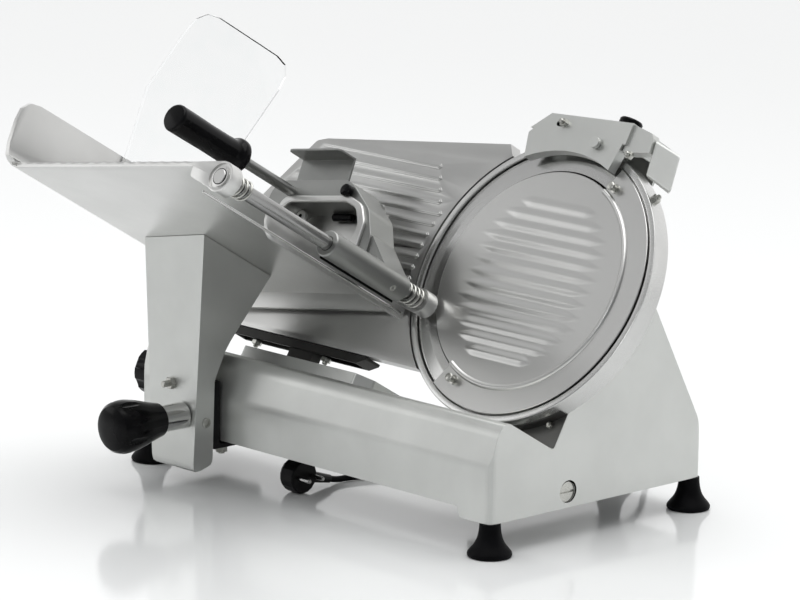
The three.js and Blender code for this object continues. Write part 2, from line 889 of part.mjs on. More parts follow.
function baseHousing() {
  const beam = beamOutline();
  const tower = towerOutline();
  const top = towerTopHeight + cutOverrun;
  const plan = joined([
    prism(planOutline(beamLeftEnd, baseRightEnd, 0, beamDepth), 'z', 0, top),
    prism(planOutline(towerLeftEnd, baseRightEnd, 0, baseDepth), 'z', 0, top),
  ]);
  const turret = inBaseFrame(prism(rounded([
    [turretLeft, turretFrontBehind], [turretRight - turretNose, turretFrontBehind],
    [turretRight, turretFrontBehind + turretNose], [turretRight, turretBackBehind],
    [turretLeft, turretBackBehind],
  ], ridgeRadius), 'z', beamSlopeUp - castingWall, beamSlopeUp + turretRise), knifePlane);
  const outer = joined([
    prism(rounded(beam.points, beam.radii), 'x', beamLeftEnd, baseRightEnd),
    prism(rounded(tower.points, tower.radii), 'x', towerLeftEnd, baseRightEnd),
  ]).intersect(plan);
  const cavity = joined([
    prism(cavityOf(beam), 'x', beamLeftEnd + castingWall, baseRightEnd - castingWall),
    prism(cavityOf(tower), 'x', towerLeftEnd + castingWall, baseRightEnd - castingWall),
  ]);
  const bosses = Object.values(footPlaces).map(([x, y]) => rod(
    footBossRadius, 'z', footHeight, footHeight + footBossHeight, [x, y, 0], midSides).intersect(outer));
  const studHoles = Object.values(footPlaces).map(([x, y]) => rod(
    footStudRadius + clearance, 'z', footHeight - cutOverrun, footHeight + footStudReach + clearance,
      [x, y, 0], smallSides));
  const skirtCut = prism([
    [skirtLeftStep, footHeight - cutOverrun], [skirtRightStep, footHeight - cutOverrun],
    [skirtRightStep - skirtStepSlope, skirtHeight], [skirtLeftStep + skirtStepSlope, skirtHeight],
  ], 'y', -cutOverrun, beamDepth + cutOverrun);
  const postSlot = inBaseFrame(block(
    postLeft - runningGap, postRight + runningGap, postFrontBehind - runningGap,
    postFrontBehind + postDepth + gaugeTravel + runningGap,
    beamSlopeUp - castingWall - cutOverrun, beamSlopeUp + turretRise + cutOverrun), knifePlane);
  const housingHole = inBaseFrame(rod(
    bearingHousingRadius + clearance, 'y', towerFaceBehind - cutOverrun,
      towerFaceBehind + castingWall + cutOverrun, [0, 0, 0],
    roundSides), knifePlane);
  const postHole = inBaseFrame(rod(
    postRadius + clearance, 'z', postBaseUp, apronTopUp, [postAcross, postBehind, 0], midSides),
    knifePlane);
  const tieHole = inBaseFrame(rod(
    tieHoleRadius, 'y', spindleEndBehind, tieKnobBehind + cutOverrun, [0, 0, 0], midSides), knifePlane);
  const accessHole = rod(
    accessPlugRadius + clearance, 'x', baseRightEnd - castingWall - cutOverrun, baseRightEnd + cutOverrun,
    [0, accessPlugDepth, accessPlugHeight], midSides);
  const shaftHole = rod(
    thicknessShaftRadius + clearance, 'x', beamLeftEnd - cutOverrun,
      beamLeftEnd + castingWall + cutOverrun,
    [0, thicknessAxisDepth, thicknessAxisHeight], midSides);
  const switchHole = block(
    beamLeftEnd - cutOverrun, beamLeftEnd + castingWall + cutOverrun, switchDepthNear - clearance,
    switchDepthFar + clearance, switchBottom - clearance, switchTop + clearance);
  const reliefHole = rod(
    reliefNeckRadius + clearance, 'y', baseDepth - 2 * castingWall - cutOverrun, baseDepth + cutOverrun,
    [reliefAcross, 0, reliefHeight], midSides);
  const shell = joined([without(outer, [cavity]), ...bosses, turret]);
  return without(shell, [
    skirtCut, postSlot, housingHole, postHole, tieHole, accessHole, shaftHole, switchHole, reliefHole,
      ...studHoles,
  ]);
}

// Rubber foot with its stud
function foot([x, y]) {
  const top = footHeight - clearance;
  const bell = profileOf(footProfileShares, footBaseRadius, 0, top);
  return turned([
    ...bell, [footStudRadius, top], [footStudRadius, top + footStudReach], [0, top + footStudReach],
  ], 'z', [x, y, 0], footSides);
}

function bottomCover() {
  const sheet = prism(planOutline(
    towerLeftEnd + coverInset, baseRightEnd - coverInset, beamDepth + coverInset, baseDepth - coverInset),
  'z', footHeight - clearance - coverSheet, footHeight - clearance);
  const ways = Object.values(footPlaces).map(([x, y]) => rod(
    footBaseRadius * footProfileShares.at(-1)[0] + runningGap, 'z', 0, footHeight, [x, y, 0], midSides));
  return without(sheet, ways);
}

function accessPlug() {
  const outer = baseRightEnd - accessPlugRecess;
  const centre = [0, accessPlugDepth, accessPlugHeight];
  const body = rod(accessPlugRadius, 'x', outer - accessPlugLength, outer, centre, midSides);
  const slot = block(
    outer - accessSlotDepth, outer + cutOverrun, accessPlugDepth - accessPlugRadius - cutOverrun,
    accessPlugDepth + accessPlugRadius + cutOverrun,
    accessPlugHeight - accessSlotWidth / 2, accessPlugHeight + accessSlotWidth / 2);
  const collar = rod(accessPlugRadius + accessPlugFlange, 'x',
    baseRightEnd - castingWall - clearance - accessPlugFlange, baseRightEnd - castingWall - clearance,
      centre, midSides);
  return without(body.add(collar), [slot]);
}

// Blade, its guard and its cover, all on the knife plane
function guardRing() {
  const back = towerFaceBehind - clearance;
  const dish = turned([
    [guardWebBore, guardWebBehind], [guardInnerRadius, guardWebBehind],
    [guardInnerRadius, guardFrontBehind + guardRimChamfer],
    [guardInnerRadius + guardRimChamfer, guardFrontBehind],
    [guardOuterRadius - guardRimChamfer, guardFrontBehind],
    [guardOuterRadius, guardFrontBehind + guardRimChamfer], [guardOuterRadius, back],
    [guardWebBore, back],
  ], 'y', [0, 0, 0], 2 * roundSides, true);
  const reach = guardOuterRadius + cutOverrun;
  const notch = prism([
    ...arcPoints(guardNotchInnerRadius, guardNotchStart, guardNotchEnd, filletSteps),
    ...arcPoints(reach, guardNotchEnd, guardNotchStart, filletSteps),
  ], 'y', -cutOverrun, back + cutOverrun);
  return without(dish, [notch]);
}

function blade() {
  const back = bladeSetBack + bladeThickness;
  return turned([
    [bladeBoreRadius, bladeSetBack], [bladeRadius - bladeEdgeWidth, bladeSetBack],
    [bladeRadius, back - bladeEdgeThickness],
    [bladeRadius, back], [bladeBoreRadius, back],
  ], 'y', [0, 0, 0], 2 * roundSides, true);
}

function coverRib(up) {
  const half = Math.min(Math.sqrt(coverRibFieldRadius ** 2 - up ** 2), coverRibFieldHalfLength);
  const foot = coverRibWidth / 2;
  const outline = [
    [-half, up - foot], [half, up - foot], [half + foot, up], [half, up + foot], [-half, up + foot],
    [-half - foot, up],
  ];
  const crest = inset(outline, foot / 2);
  const sunk = -coverFrontAhead + coverRibRise / 2;
  return prism(outline, 'y', -coverFrontAhead - coverRibRise / 2, sunk)
    .add(prism(crest, 'y', -coverFrontAhead - coverRibRise, sunk));
}

function bladeCover() {
  const disc = turned([
    [0, coverBackBehind], [coverDiscRadius, coverBackBehind],
    [coverDiscRadius, -coverFrontAhead - coverRimRise],
    [coverDiscRadius - coverRimWidth, -coverFrontAhead - coverRimRise],
    [coverDiscRadius - 2 * coverRimWidth, -coverFrontAhead], [0, -coverFrontAhead],
  ], 'y', [0, 0, 0], 2 * roundSides);
  const segment = prism([
    ...arcPoints(segmentInnerRadius, segmentStart, segmentEnd, roundSides),
    ...arcPoints(segmentOuterRadius, segmentEnd, segmentStart, roundSides),
  ], 'y', -segmentFrontAhead, coverBackBehind);
  const ribCount = Math.floor(coverRibFieldRadius / coverRibPitch);
  const ribs = Array.from({ length: 2 * ribCount - 1 },
    (_, i) => coverRib((i + 1 - ribCount) * coverRibPitch));
  const boss = pipe(coverBossRadius, tieTipRadius + clearance, 'y', 0, coverBackBehind + coverBossReach,
    [0, 0, 0], midSides);
  const studs = coverStudAngles.map((angle) => rod(coverStudRadius, 'y',
    -segmentFrontAhead - coverStudLength, 0,
    [coverStudPlaceRadius * Math.cos(angle), 0, coverStudPlaceRadius * Math.sin(angle)], smallSides));
  return joined([disc, segment, ...ribs, boss, ...studs]);
}

// Spindle, bearings and the tube that holds them in the tower's front wall
const spindleFront = () => bladeSetBack + bladeThickness + clearance;

function bladeSpindle() {
  const front = spindleFront();
  return turned([
    [spindleBoreRadius, front], [spindleFlangeRadius, front],
    [spindleFlangeRadius, front + spindleFlangeThickness],
    [spindleRadius, front + spindleFlangeThickness], [spindleRadius, spindleEndBehind],
    [spindleBoreRadius, spindleEndBehind],
  ], 'y', [0, 0, 0], midSides, true);
}

function bearingHousing() {
  const seat = towerFaceBehind - clearance;
  const bore = bearingOuterRadius + clearance;
  return turned([
    [bore, seat - bearingHousingFlangeThickness],
    [bearingHousingFlangeRadius, seat - bearingHousingFlangeThickness],
    [bearingHousingFlangeRadius, seat], [bearingHousingRadius, seat],
    [bearingHousingRadius, bearingHousingEndBehind],
    [bore, bearingHousingEndBehind],
  ], 'y', [0, 0, 0], midSides, true);
}

function bearing(front) {
  return pipe(bearingOuterRadius, spindleRadius + clearance, 'y', front, front + bearingWidth, [0, 0, 0]);
}

// Belt drive: the pulley on the spindle is a cup whose rim runs round the bearing housing
function drivenPulley() {
  const front = pulleyFrontBehind;
  const back = front + pulleyWidth + pulleyWebThickness;
  const rim = drivenPulleyRadius - pulleyRimThickness;
  const bore = spindleRadius + clearance;
  return turned([
    [bore, front + pulleyWidth], [rim, front + pulleyWidth], [rim, front], [drivenPulleyRadius, front],
    [drivenPulleyRadius, back], [pulleyHubRadius, back], [pulleyHubRadius, back + pulleyHubLength],
    [bore, back + pulleyHubLength],
  ], 'y', [0, 0, 0], midSides, true);
}

function motorPulley() {
  const back = motorFrontBehind + motorShaftInset;
  return turned([
    [0, pulleyFrontBehind], [motorPulleyRadius, pulleyFrontBehind],
    [motorPulleyRadius, pulleyFrontBehind + pulleyWidth],
    [motorShaftRadius, pulleyFrontBehind + pulleyWidth], [motorShaftRadius, back], [0, back],
  ], 'y', [motorAcross, 0, motorUp], midSides);
}

function motorBody() {
  const front = motorFrontBehind + clearance;
  const back = front + motorLength;
  const bore = motorShaftRadius + clearance;
  return turned([
    [0, front + motorShaftInset], [bore, front + motorShaftInset], [bore, front],
    [motorRadius - motorEndRounding, front],
    [motorRadius, front + motorEndRounding], [motorRadius, back - motorEndRounding],
    [motorRadius - motorEndRounding, back], [0, back],
  ], 'y', [motorAcross, 0, motorUp], midSides);
}

function motorBracket() {
  const back = motorFrontBehind;
  const front = back - motorPlateThickness;
  const plate = prism(rounded([
    [motorAcross - motorPlateHalf, motorUp - motorPlateHalf],
    [motorAcross + motorPlateHalf, motorUp - motorPlateHalf],
    [motorAcross + motorPlateHalf, motorUp + motorPlateHalf],
    [motorAcross - motorPlateHalf, motorUp + motorPlateHalf],
  ], motorEndRounding), 'y', front, back);
  const reach = motorPlateHalf - motorPostInset;
  const posts = [[-reach, -reach], [reach, -reach], [reach, reach]].map(([x, z]) => rod(
    motorPostRadius, 'y', towerFaceBehind + castingWall + clearance, front + motorPlateThickness / 2,
    [motorAcross + x, 0, motorUp + z], smallSides));
  const bore = rod(motorPlateBore, 'y', front - cutOverrun, back + cutOverrun, [motorAcross, 0, motorUp],
    midSides);
  return without(joined([plate, ...posts]), [bore]);
}

// The loop of the belt round both pulleys at a given distance off their rims
function beltLoop(offset) {
  const distance = Math.hypot(motorAcross, motorUp);
  const direction = Math.atan2(motorUp, motorAcross);
  const spread = Math.acos((drivenPulleyRadius - motorPulleyRadius) / distance);
  const steps = midSides;
  const large = arcPoints(drivenPulleyRadius + offset, direction + spread,
    direction + 2 * Math.PI - spread, steps);
  const small = arcPoints(motorPulleyRadius + offset, direction - spread, direction + spread, steps / 2)
    .map(([x, z]) => [x + motorAcross, z + motorUp]);
  return [...large, ...small];
}

function driveBelt() {
  const middle = pulleyFrontBehind + pulleyWidth / 2;
  return prism(beltLoop(clearance + beltThickness), 'y', middle - beltWidth / 2, middle + beltWidth / 2,
    [beltLoop(clearance).reverse()]);
}

// Tie rod through the spindle, with its knob behind the tower
function coverTieRod() {
  const tip = coverBackBehind + coverBossReach;
  const end = tieKnobBehind + tieKnobLength;
  return turned([
    [0, tip - tieTipLength], [tieTipRadius, tip - tieTipLength], [tieTipRadius, tip + clearance],
    [tieRodRadius, tip + clearance], [tieRodRadius, tieNeckBehind], [tieNeckRadius, tieNeckBehind],
    [tieNeckRadius, tieKnobBehind], ...profileOf(tieKnobProfileShares, tieKnobRadius, tieKnobBehind, end),
    [0, end],
  ], 'y', [0, 0, 0], midSides);
}

// Gauge plate with its pressed ribs and folded rim
function gaugeOutline() {
  const radius = guardOuterRadius + plateEdgeGap;
  const lowAngle = Math.PI + Math.asin(-plateBottomUp / radius);
  const highAngle = Math.acos(plateTopRightAcross / Math.hypot(plateTopRightAcross, plateTopRightUp));
  const endAngle = Math.min(highAngle, lowAngle);
  const arc = arcPoints(radius, lowAngle, endAngle, midSides);
  return [
    [plateLeftAcross, plateBottomUp], ...arc, [plateTopRightAcross, plateTopRightUp],
    [plateTopLeftAcross, plateTopLeftUp],
    [plateShoulderAcross, plateShoulderUp], [plateLeftHighAcross, plateLeftHighUp],
    [plateLeftAcross, plateLeftLowUp],
  ];
}

function leftEdgeAcross(up) {
  if (up < plateLeftLowUp) return plateLeftAcross;
  if (up < plateLeftHighUp) {
    const share = (up - plateLeftLowUp) / (plateLeftHighUp - plateLeftLowUp);
    return plateLeftAcross + share * (plateLeftHighAcross - plateLeftAcross);
  }
  const share = (up - plateLeftHighUp) / (plateShoulderUp - plateLeftHighUp);
  return plateLeftHighAcross + share * (plateShoulderAcross - plateLeftHighAcross);
}

function gaugeRib(up) {
  const radius = guardOuterRadius + plateEdgeGap;
  const edge = -Math.sqrt(radius ** 2 - up ** 2) - plateRibEdgeMargin;
  const stair = plateRibStairAcross - (up - plateRibStairUp) * plateRibStairShare;
  const right = Math.min(edge, up > plateRibStairUp - plateRibPitch / 2 ? stair : edge);
  const left = leftEdgeAcross(up) + plateRibLeftMargin;
  const foot = plateRibWidth / 2;
  const outline = [
    [left, up - foot], [right, up - foot], [right + foot, up], [right, up + foot], [left, up + foot],
    [left - foot, up],
  ];
  const sunk = 2 * plateRibRise;
  return prism(outline, 'y', plateRibRise / 2, sunk).add(prism(inset(outline, foot / 2), 'y', 0, sunk));
}

function gaugePlate() {
  const outline = gaugeOutline();
  const last = outline.length - 1;
  const radii = outline.map((_, i) => (i === 0 || i >= last - 2 ? plateCornerRadius : 0));
  const skin = plateRibRise + plateSheet;
  const whole = prism(rounded(outline, radii), 'y', plateRibRise, plateRibRise + plateRimDepth);
  const hollow = prism(rounded(inset(outline, plateSheet), radii), 'y', skin,
    skin + plateRimDepth + cutOverrun);
  const ribs = Array.from({ length: plateRibCount },
    (_, i) => gaugeRib(plateRibTopUp - i * plateRibPitch));
  return joined([without(whole, [hollow]), ...ribs]);
}

// Channel under the gauge plate with the post that reaches into the beam
function gaugeCarrier() {
  const top = plateBottomUp - clearance;
  const bottom = top - carrierHeight;
  const back = carrierFrontBehind + carrierDepth;
  const outline = [
    [carrierLeft, bottom], [carrierRight - carrierNose, bottom], [carrierRight, top - carrierWall],
    [carrierRight, top],
    [carrierLeft, top],
  ];
  const channel = without(prism(outline, 'y', carrierFrontBehind, back), [block(
    carrierLeft + carrierWall, carrierRight - carrierNose - carrierWall, carrierFrontBehind + carrierWall,
    back - carrierWall, bottom - cutOverrun, top - carrierWall)]);
  const post = block(postLeft, postRight, postFrontBehind, postFrontBehind + postDepth,
    slideBlockTopUp + clearance,
    top - carrierWall / 2);
  return channel.add(post);
}

// Slide inside the beam: a block on two guide rods, with an arm whose pin follows the scroll
function gaugeSlide() {
  const back = slideBlockFrontBehind + slideBlockDepth;
  const body = block(
    slideBlockLeft, slideBlockRight, slideBlockFrontBehind, back, slideBlockBottomUp, slideBlockTopUp);
  const [axisBehind, axisUp] = knifeCoordinates(thicknessAxisDepth, thicknessAxisHeight);
  const pinBehind = axisBehind + scrollStartRadius;
  const half = slideArmThickness / 2;
  const arm = block(slideArmEnd, slideBlockLeft + slideArmThickness, pinBehind - half, pinBehind + half,
    axisUp - half, axisUp + half);
  const link = block(slideBlockLeft - slideArmThickness, slideBlockLeft + slideArmThickness,
    pinBehind - half,
    slideBlockFrontBehind + half, slideBlockBottomUp, slideBlockTopUp - half);
  const pin = rod(scrollPinRadius, 'x',
    scrollAcross + scrollThickness - scrollGrooveDepth + 2 * clearance,
    slideArmEnd + clearance, [0, pinBehind, axisUp], smallSides);
  const holes = guideRodPlaces().map((x) => rod(
    guideRodRadius + guideFit, 'y', slideBlockFrontBehind - slideBlockDepth - cutOverrun,
      back + cutOverrun,
    [x, 0, guideRodUp], smallSides));
  return without(joined([body, link, arm, pin]), holes);
}

const guideRodPlaces = () => [slideBlockLeft + guideRodInset, slideBlockRight - guideRodInset];

function gaugeGuide() {
  const top = beamSlopeUp - castingWall - clearance;
  const bottom = slideBlockBottomUp;
  const plates = [guideFrontBehind, guideBackBehind].map((front) => block(
    slideBlockLeft, slideBlockRight, front, front + guidePlateThickness, bottom, top));
  const rods = guideRodPlaces().map((x) => rod(
    guideRodRadius, 'y', guideFrontBehind, guideBackBehind + guidePlateThickness, [x, 0, guideRodUp],
      smallSides));
  return joined([...plates, ...rods]);
}

// Thickness knob outside the left end wall, on one shaft with the scroll inside it
function thicknessKnob() {
  const centre = [0, thicknessAxisDepth, thicknessAxisHeight];
  const inner = beamLeftEnd - clearance;
  const outer = inner - thicknessKnobLength;
  const body = turned([
    [0, outer], ...profileOf(thicknessKnobProfileShares, thicknessKnobRadius, outer, inner),
    [thicknessShaftRadius, inner],
    [thicknessShaftRadius, scrollAcross - clearance], [0, scrollAcross - clearance],
  ], 'x', centre, roundSides);
  const flutes = Array.from({ length: thicknessKnobLobes }, (_, i) => {
    const angle = (2 * Math.PI * i) / thicknessKnobLobes;
    const reach = thicknessKnobRadius + thicknessLobeRadius * thicknessLobeShare;
    return rod(thicknessLobeRadius, 'x', outer - cutOverrun, inner - thicknessKnobRim, [
      0, thicknessAxisDepth + reach * Math.cos(angle), thicknessAxisHeight + reach * Math.sin(angle)],
      smallSides);
  });
  return without(body, flutes);
}

function thicknessScroll() {
  const centre = [0, thicknessAxisDepth, thicknessAxisHeight];
  const disc = rod(scrollRadius, 'x', scrollAcross, scrollAcross + scrollThickness, centre, midSides);
  const half = scrollPinRadius + scrollSlack;
  const start = -knifeTilt;
  const path = (offset) => Array.from({ length: scrollSteps + 1 }, (_, i) => {
    const turn = (scrollTurns * i) / scrollSteps;
    const radius = scrollStartRadius + (gaugeTravel * turn) / scrollTurns + offset;
    const angle = start - turn;
    return [thicknessAxisDepth + radius * Math.cos(angle),
      thicknessAxisHeight + radius * Math.sin(angle)];
  });
  const floor = scrollAcross + scrollThickness - scrollGrooveDepth;
  const groove = prism([...path(half), ...path(-half).reverse()], 'x', floor,
    scrollAcross + scrollThickness + cutOverrun);
  const middleLine = path(0);
  const ends = [middleLine[0], middleLine.at(-1)].map(([depth, height]) => rod(
    half, 'x', floor, scrollAcross + scrollThickness + cutOverrun, [0, depth, height], smallSides));
  return without(disc, [groove, ...ends]);
}

// Carriage slide: two rods in the beam, a runner block on them and the bracket under the front wall
function beamRod(radius, depth, height) {
  return rod(radius, 'x', beamLeftEnd + castingWall + clearance, baseRightEnd - castingWall - clearance,
    [0, depth, height], midSides);
}

const bushOuter = () => slideRodRadius + clearance + bushWall;

function runnerBlock() {
  const body = prism(rounded([
    [runnerFrontDepth, runnerBottom], [runnerBackDepth, runnerBottom], [runnerBackDepth, runnerTop],
    [runnerFrontDepth, runnerTop],
  ], armCornerRadius / 3), 'x', runnerLeft, runnerRight);
  return without(body, [
    rod(bushOuter() + clearance, 'x', runnerLeft - cutOverrun, runnerRight + cutOverrun,
      [0, slideRodDepth, slideRodHeight], midSides),
    rod(steadyRodRadius + guideFit, 'x', runnerLeft - cutOverrun, runnerRight + cutOverrun,
      [0, steadyRodDepth, steadyRodHeight], midSides),
  ]);
}

function slideBush() {
  return pipe(bushOuter(), slideRodRadius + clearance, 'x', runnerLeft, runnerRight,
    [0, slideRodDepth, slideRodHeight]);
}

function slideBracket() {
  const bottom = runnerBottom - clearance - bracketThickness;
  const outline = rounded([
    [bracketLegFrontDepth, bottom], [bracketFootDepth, bottom],
    [bracketFootDepth, bottom + bracketThickness],
    [bracketLegFrontDepth + bracketLegThickness, bottom + bracketThickness],
    [bracketLegFrontDepth + bracketLegThickness, bottom + bracketLegHeight],
    [bracketLegFrontDepth, bottom + bracketLegHeight],
  ], [bracketThickness / 2, 0, 0, bracketThickness / 2, 0, 0]);
  return prism(outline, 'x', bracketLeft, bracketRight);
}

// Bolt that hangs under the bracket's foot
function bracketBolt() {
  const top = runnerBottom - 2 * clearance - bracketThickness;
  const washer = rod(boltWasherRadius, 'z', top - boltWasherThickness, top, [boltAcross, boltDepth, 0],
    midSides);
  const nutBottom = top - boltWasherThickness - boltHeadHeight;
  const nut = rod(boltHeadAcrossCorners / 2, 'z', nutBottom, top - boltWasherThickness / 2,
    [boltAcross, boltDepth, 0], 6);
  const stub = rod(boltRadius, 'z', nutBottom - boltStubLength, nutBottom + boltStubLength / 2,
    [boltAcross, boltDepth, 0], smallSides);
  return joined([washer, nut, stub]);
}

// Carriage arm: a cast bracket whose top is cut to the tray's underside
function armFrontDepthAt(height) {
  const share = (height - armBottom) / (armTopHeight - armBottom);
  return armFrontBottomDepth + share * (armFrontTopDepth - armFrontBottomDepth);
}

function carriageArm() {
  const above = armTopHeight + armSpareHeight;
  const side = rounded([
    [armFrontBottomDepth, armBottom], [armBackDepth, armBackLow], [armBackDepth, armElbowLow],
    [armElbowDepth, armElbowHeight], [armElbowUpperDepth, armElbowUpperHeight],
    [armTipDepth, armTipHeight],
    [armTipDepth, above], [armFrontDepthAt(above), above],
  ], [armCornerRadius, armCornerRadius, armCornerRadius, armCornerRadius, armCornerRadius, 0, 0, 0]);
  const spread = (above - armTopHeight) / (armTopHeight - armBottom);
  const front = rounded([
    [armBottomLeft, armBottom], [armBottomRight, armBottom],
    [armTopRight + spread * (armTopRight - armBottomRight), above],
    [armTopLeft + spread * (armTopLeft - armBottomLeft), above],
  ], [armCornerRadius, armCornerRadius, 0, 0]);
  const below = 3 * armTopHeight;
  const trayUnderside = inBaseFrame(block(
    2 * trayLeft, trayRight, -2 * trayAhead, trayAhead, -clearance, below), trayPlane);
  const flangeUnderside = inBaseFrame(block(
    2 * trayLeft, trayRight, -2 * trayAhead, trayAhead, -clearance - armFlange, below), trayPlane);
  const body = prism(side, 'x', 2 * armTopLeft, 0).intersect(prism(front, 'y', -trayAhead, trayAhead));
  const windowSide = rounded([
    [armFrontDepthAt(armWindowBottom) + armWall, armWindowBottom],
    [armTipDepth + cutOverrun, armWindowBottom],
    [armTipDepth + cutOverrun, above], [armFrontDepthAt(above) + armWall, above],
  ], [armCornerRadius, 0, 0, 0]);
  const window = without(
    prism(windowSide, 'x', 2 * armTopLeft, 0)
      .intersect(prism(inset(front, armWall), 'y', -trayAhead, trayAhead)),
    [flangeUnderside]);
  return without(body, [window, trayUnderside, lockBore()]);
}

const lockSeatDepth = () => armFrontDepthAt(lockHeight);

function lockBore() {
  return rod(lockSpigotRadius + clearance, 'y', lockSeatDepth() - cutOverrun,
    lockSeatDepth() + lockSpigotReach + clearance,
    [lockAcross, 0, lockHeight], midSides);
}

// Sleeve and knob that lock the arm
function lockSleeve() {
  const seat = lockSeatDepth() - 2 * clearance;
  const front = seat - lockSleeveLength;
  return turned([
    [0, front], [lockSleeveRadius - lockSleeveRim, front], [lockSleeveRadius, front + lockSleeveRim],
    [lockSleeveRadius, seat - lockSleeveRim], [lockSleeveRadius - lockSleeveRim, seat],
    [lockSpigotRadius, seat], [lockSpigotRadius, seat + lockSpigotReach],
    [0, seat + lockSpigotReach],
  ], 'y', [lockAcross, 0, lockHeight], midSides);
}

function lockKnob() {
  const start = lockSeatDepth() - 3 * clearance - lockSleeveLength;
  const centre = [lockAcross, 0, lockHeight];
  const profile = profileOf(lockKnobProfileShares, lockKnobRadius, start, start - lockKnobLength);
  const body = turned([[0, start], ...profile], 'y', centre, 2 * smallSides);
  const reach = lockKnobRadius + lockFluteRadius - lockFluteBite;
  const flutes = Array.from({ length: lockFlutes }, (_, i) => {
    const angle = (2 * Math.PI * (i + 0.5)) / lockFlutes;
    return rod(lockFluteRadius, 'y', start - lockKnobLength - cutOverrun,
      start - lockKnobLength * lockFluteEndShare, [
      lockAcross + reach * Math.cos(angle), 0, lockHeight + reach * Math.sin(angle)], smallSides);
  });
  return without(body, flutes);
}

// Tray: one drawn section of wall, floor and skirt, with lip, ribs and the two rod lugs
function trayLug(ahead, depth, radius) {
  const half = lugArmHalf;
  const corner = radius * lugCornerShare;
  const outline = [
    [trayRight - trayFillet, -half], [rodAcross, rodUp - radius], [rodAcross + corner, rodUp - corner],
    [rodAcross + radius, rodUp], [rodAcross + corner, rodUp + corner], [rodAcross, rodUp + radius],
    [trayRight - trayFillet, traySheet],
  ];
  return prism(rounded(outline, half / 2), 'y', -ahead, -ahead + depth)
    .add(rod(radius, 'y', -ahead, -ahead + depth, [rodAcross, 0, rodUp], midSides));
}

function trayRib(across) {
  const foot = trayRibWidth / 2;
  const top = traySheet + trayRibRise;
  return prism([
    [across - foot, traySheet - trayRibRise], [across + foot, traySheet - trayRibRise],
    [across + foot / 2, top],
    [across - foot / 2, top],
  ], 'y', -trayAhead - trayRibRise, -trayNear - trayLipThickness);
}

function carriageTray() {
  const section = rounded([
    [trayLeft, 0], [trayRight - traySheet, 0], [trayRight - traySheet, -traySkirtDepth],
    [trayRight, -traySkirtDepth],
    [trayRight, traySheet], [trayLeft + traySheet, traySheet], [trayLeft + traySheet, trayWallHeight],
    [trayLeft, trayWallHeight],
  ], [trayFillet, 0, 0, 0, trayFillet / 3, trayFillet, 0, 0]);
  const sideLimits = rounded([
    [-trayWallAhead, -trayCutMargin], [-trayNear, -trayCutMargin], [-trayNear, trayWallHeight],
    [-trayWallAhead, trayWallHeight],
  ], [trayWallCorner, 0, trayWallCorner / 2, trayWallCorner]);
  const wallZone = prism(sideLimits, 'x', trayLeft - cutOverrun, trayLeft + trayFillet);
  const floorZone = prism(rounded([
    [trayLeft + trayFillet, -trayAhead], [trayRight + cutOverrun, -trayAhead],
    [trayRight + cutOverrun, -trayNear],
    [trayLeft + trayFillet, -trayNear],
  ], [0, 0, 0, 0]), 'z', -trayCutMargin, trayWallHeight);
  const skirtZone = prism(rounded([
    [-traySkirtAhead, -traySkirtDepth - cutOverrun], [-lugInnerAhead, -traySkirtDepth - cutOverrun],
    [-lugInnerAhead, traySheet], [-traySkirtAhead, traySheet],
  ], 0), 'x', trayRight - 2 * traySheet, trayRight + cutOverrun);
  const skirtRound = without(
    block(trayRight - 2 * traySheet, trayRight + cutOverrun, -traySkirtAhead - cutOverrun,
      -traySkirtAhead + traySkirtRadius,
      -traySkirtDepth - cutOverrun, -traySkirtDepth + traySkirtRadius),
    [rod(traySkirtRadius, 'x', trayRight - 3 * traySheet, trayRight + 2 * cutOverrun,
      [0, -traySkirtAhead + traySkirtRadius, -traySkirtDepth + traySkirtRadius], midSides)]);
  const whole = prism(section, 'y', -trayWallAhead, -trayNear);
  const formed = whole.intersect(joined([wallZone, floorZone, without(skirtZone, [skirtRound])]));
  const lip = block(trayLeft + trayFillet, trayRight - traySheet, -trayNear - trayLipThickness, -trayNear,
    -trayLipDepth, traySheet / 2);
  const ribCount = Math.floor((trayRight - trayLeft - 2 * trayFillet) / trayRibPitch);
  const ribs = Array.from({ length: ribCount },
    (_, i) => trayRib(trayLeft + trayFillet + (i + trayRibStartShare) * trayRibPitch));
  const lugs = [
    trayLug(lugOuterAhead, lugOuterDepth, lugOuterRadius),
      trayLug(lugInnerAhead + lugInnerDepth, lugInnerDepth, lugInnerRadius),
  ];
  const rodSeats = [
    rod(rodRadius + clearance, 'y', -lugOuterAhead + lugOuterDepth - lugSeatDepth,
      -lugOuterAhead + lugOuterDepth + cutOverrun,
      [rodAcross, 0, rodUp], midSides),
    rod(rodRadius + clearance, 'y', -lugInnerAhead - lugInnerDepth - cutOverrun,
      -lugInnerAhead - lugInnerDepth + lugSeatDepth,
      [rodAcross, 0, rodUp], midSides),
    pipe(lugOuterRadius - lugCapDepth, lugCapRadius, 'y', -lugOuterAhead - cutOverrun,
      -lugOuterAhead + lugCapDepth,
      [rodAcross, 0, rodUp], midSides),
  ];
  return without(joined([formed, lip, ...ribs, ...lugs]), rodSeats);
}

// Pusher rod with a buffer spring at each end
const rodFar = () => -lugOuterAhead + lugOuterDepth - lugSeatDepth + clearance;
const rodNear = () => -lugInnerAhead - lugInnerDepth + lugSeatDepth - clearance;

function pusherRod() {
  return rod(rodRadius, 'y', rodFar(), rodNear(), [rodAcross, 0, rodUp], midSides);
}

function springPoints(start) {
  const steps = Math.round(springCurls * springSteps);
  const length = springLength - 2 * springWireRadius;
  return Array.from({ length: steps + 1 }, (_, i) => {
    const angle = (2 * Math.PI * i) / springSteps;
    return [
      rodAcross + springMeanRadius * Math.cos(angle), start + springWireRadius + (length * i) / steps,
      rodUp + springMeanRadius * Math.sin(angle),
    ];
  });
}

function bufferSpring(start) {
  const points = springPoints(start);
  console.log('buffer spring least gap', leastGap(points, springWireRadius, springSteps - 2).toFixed(2));
  return tubeThrough(points, springWireRadius, springSides);
}

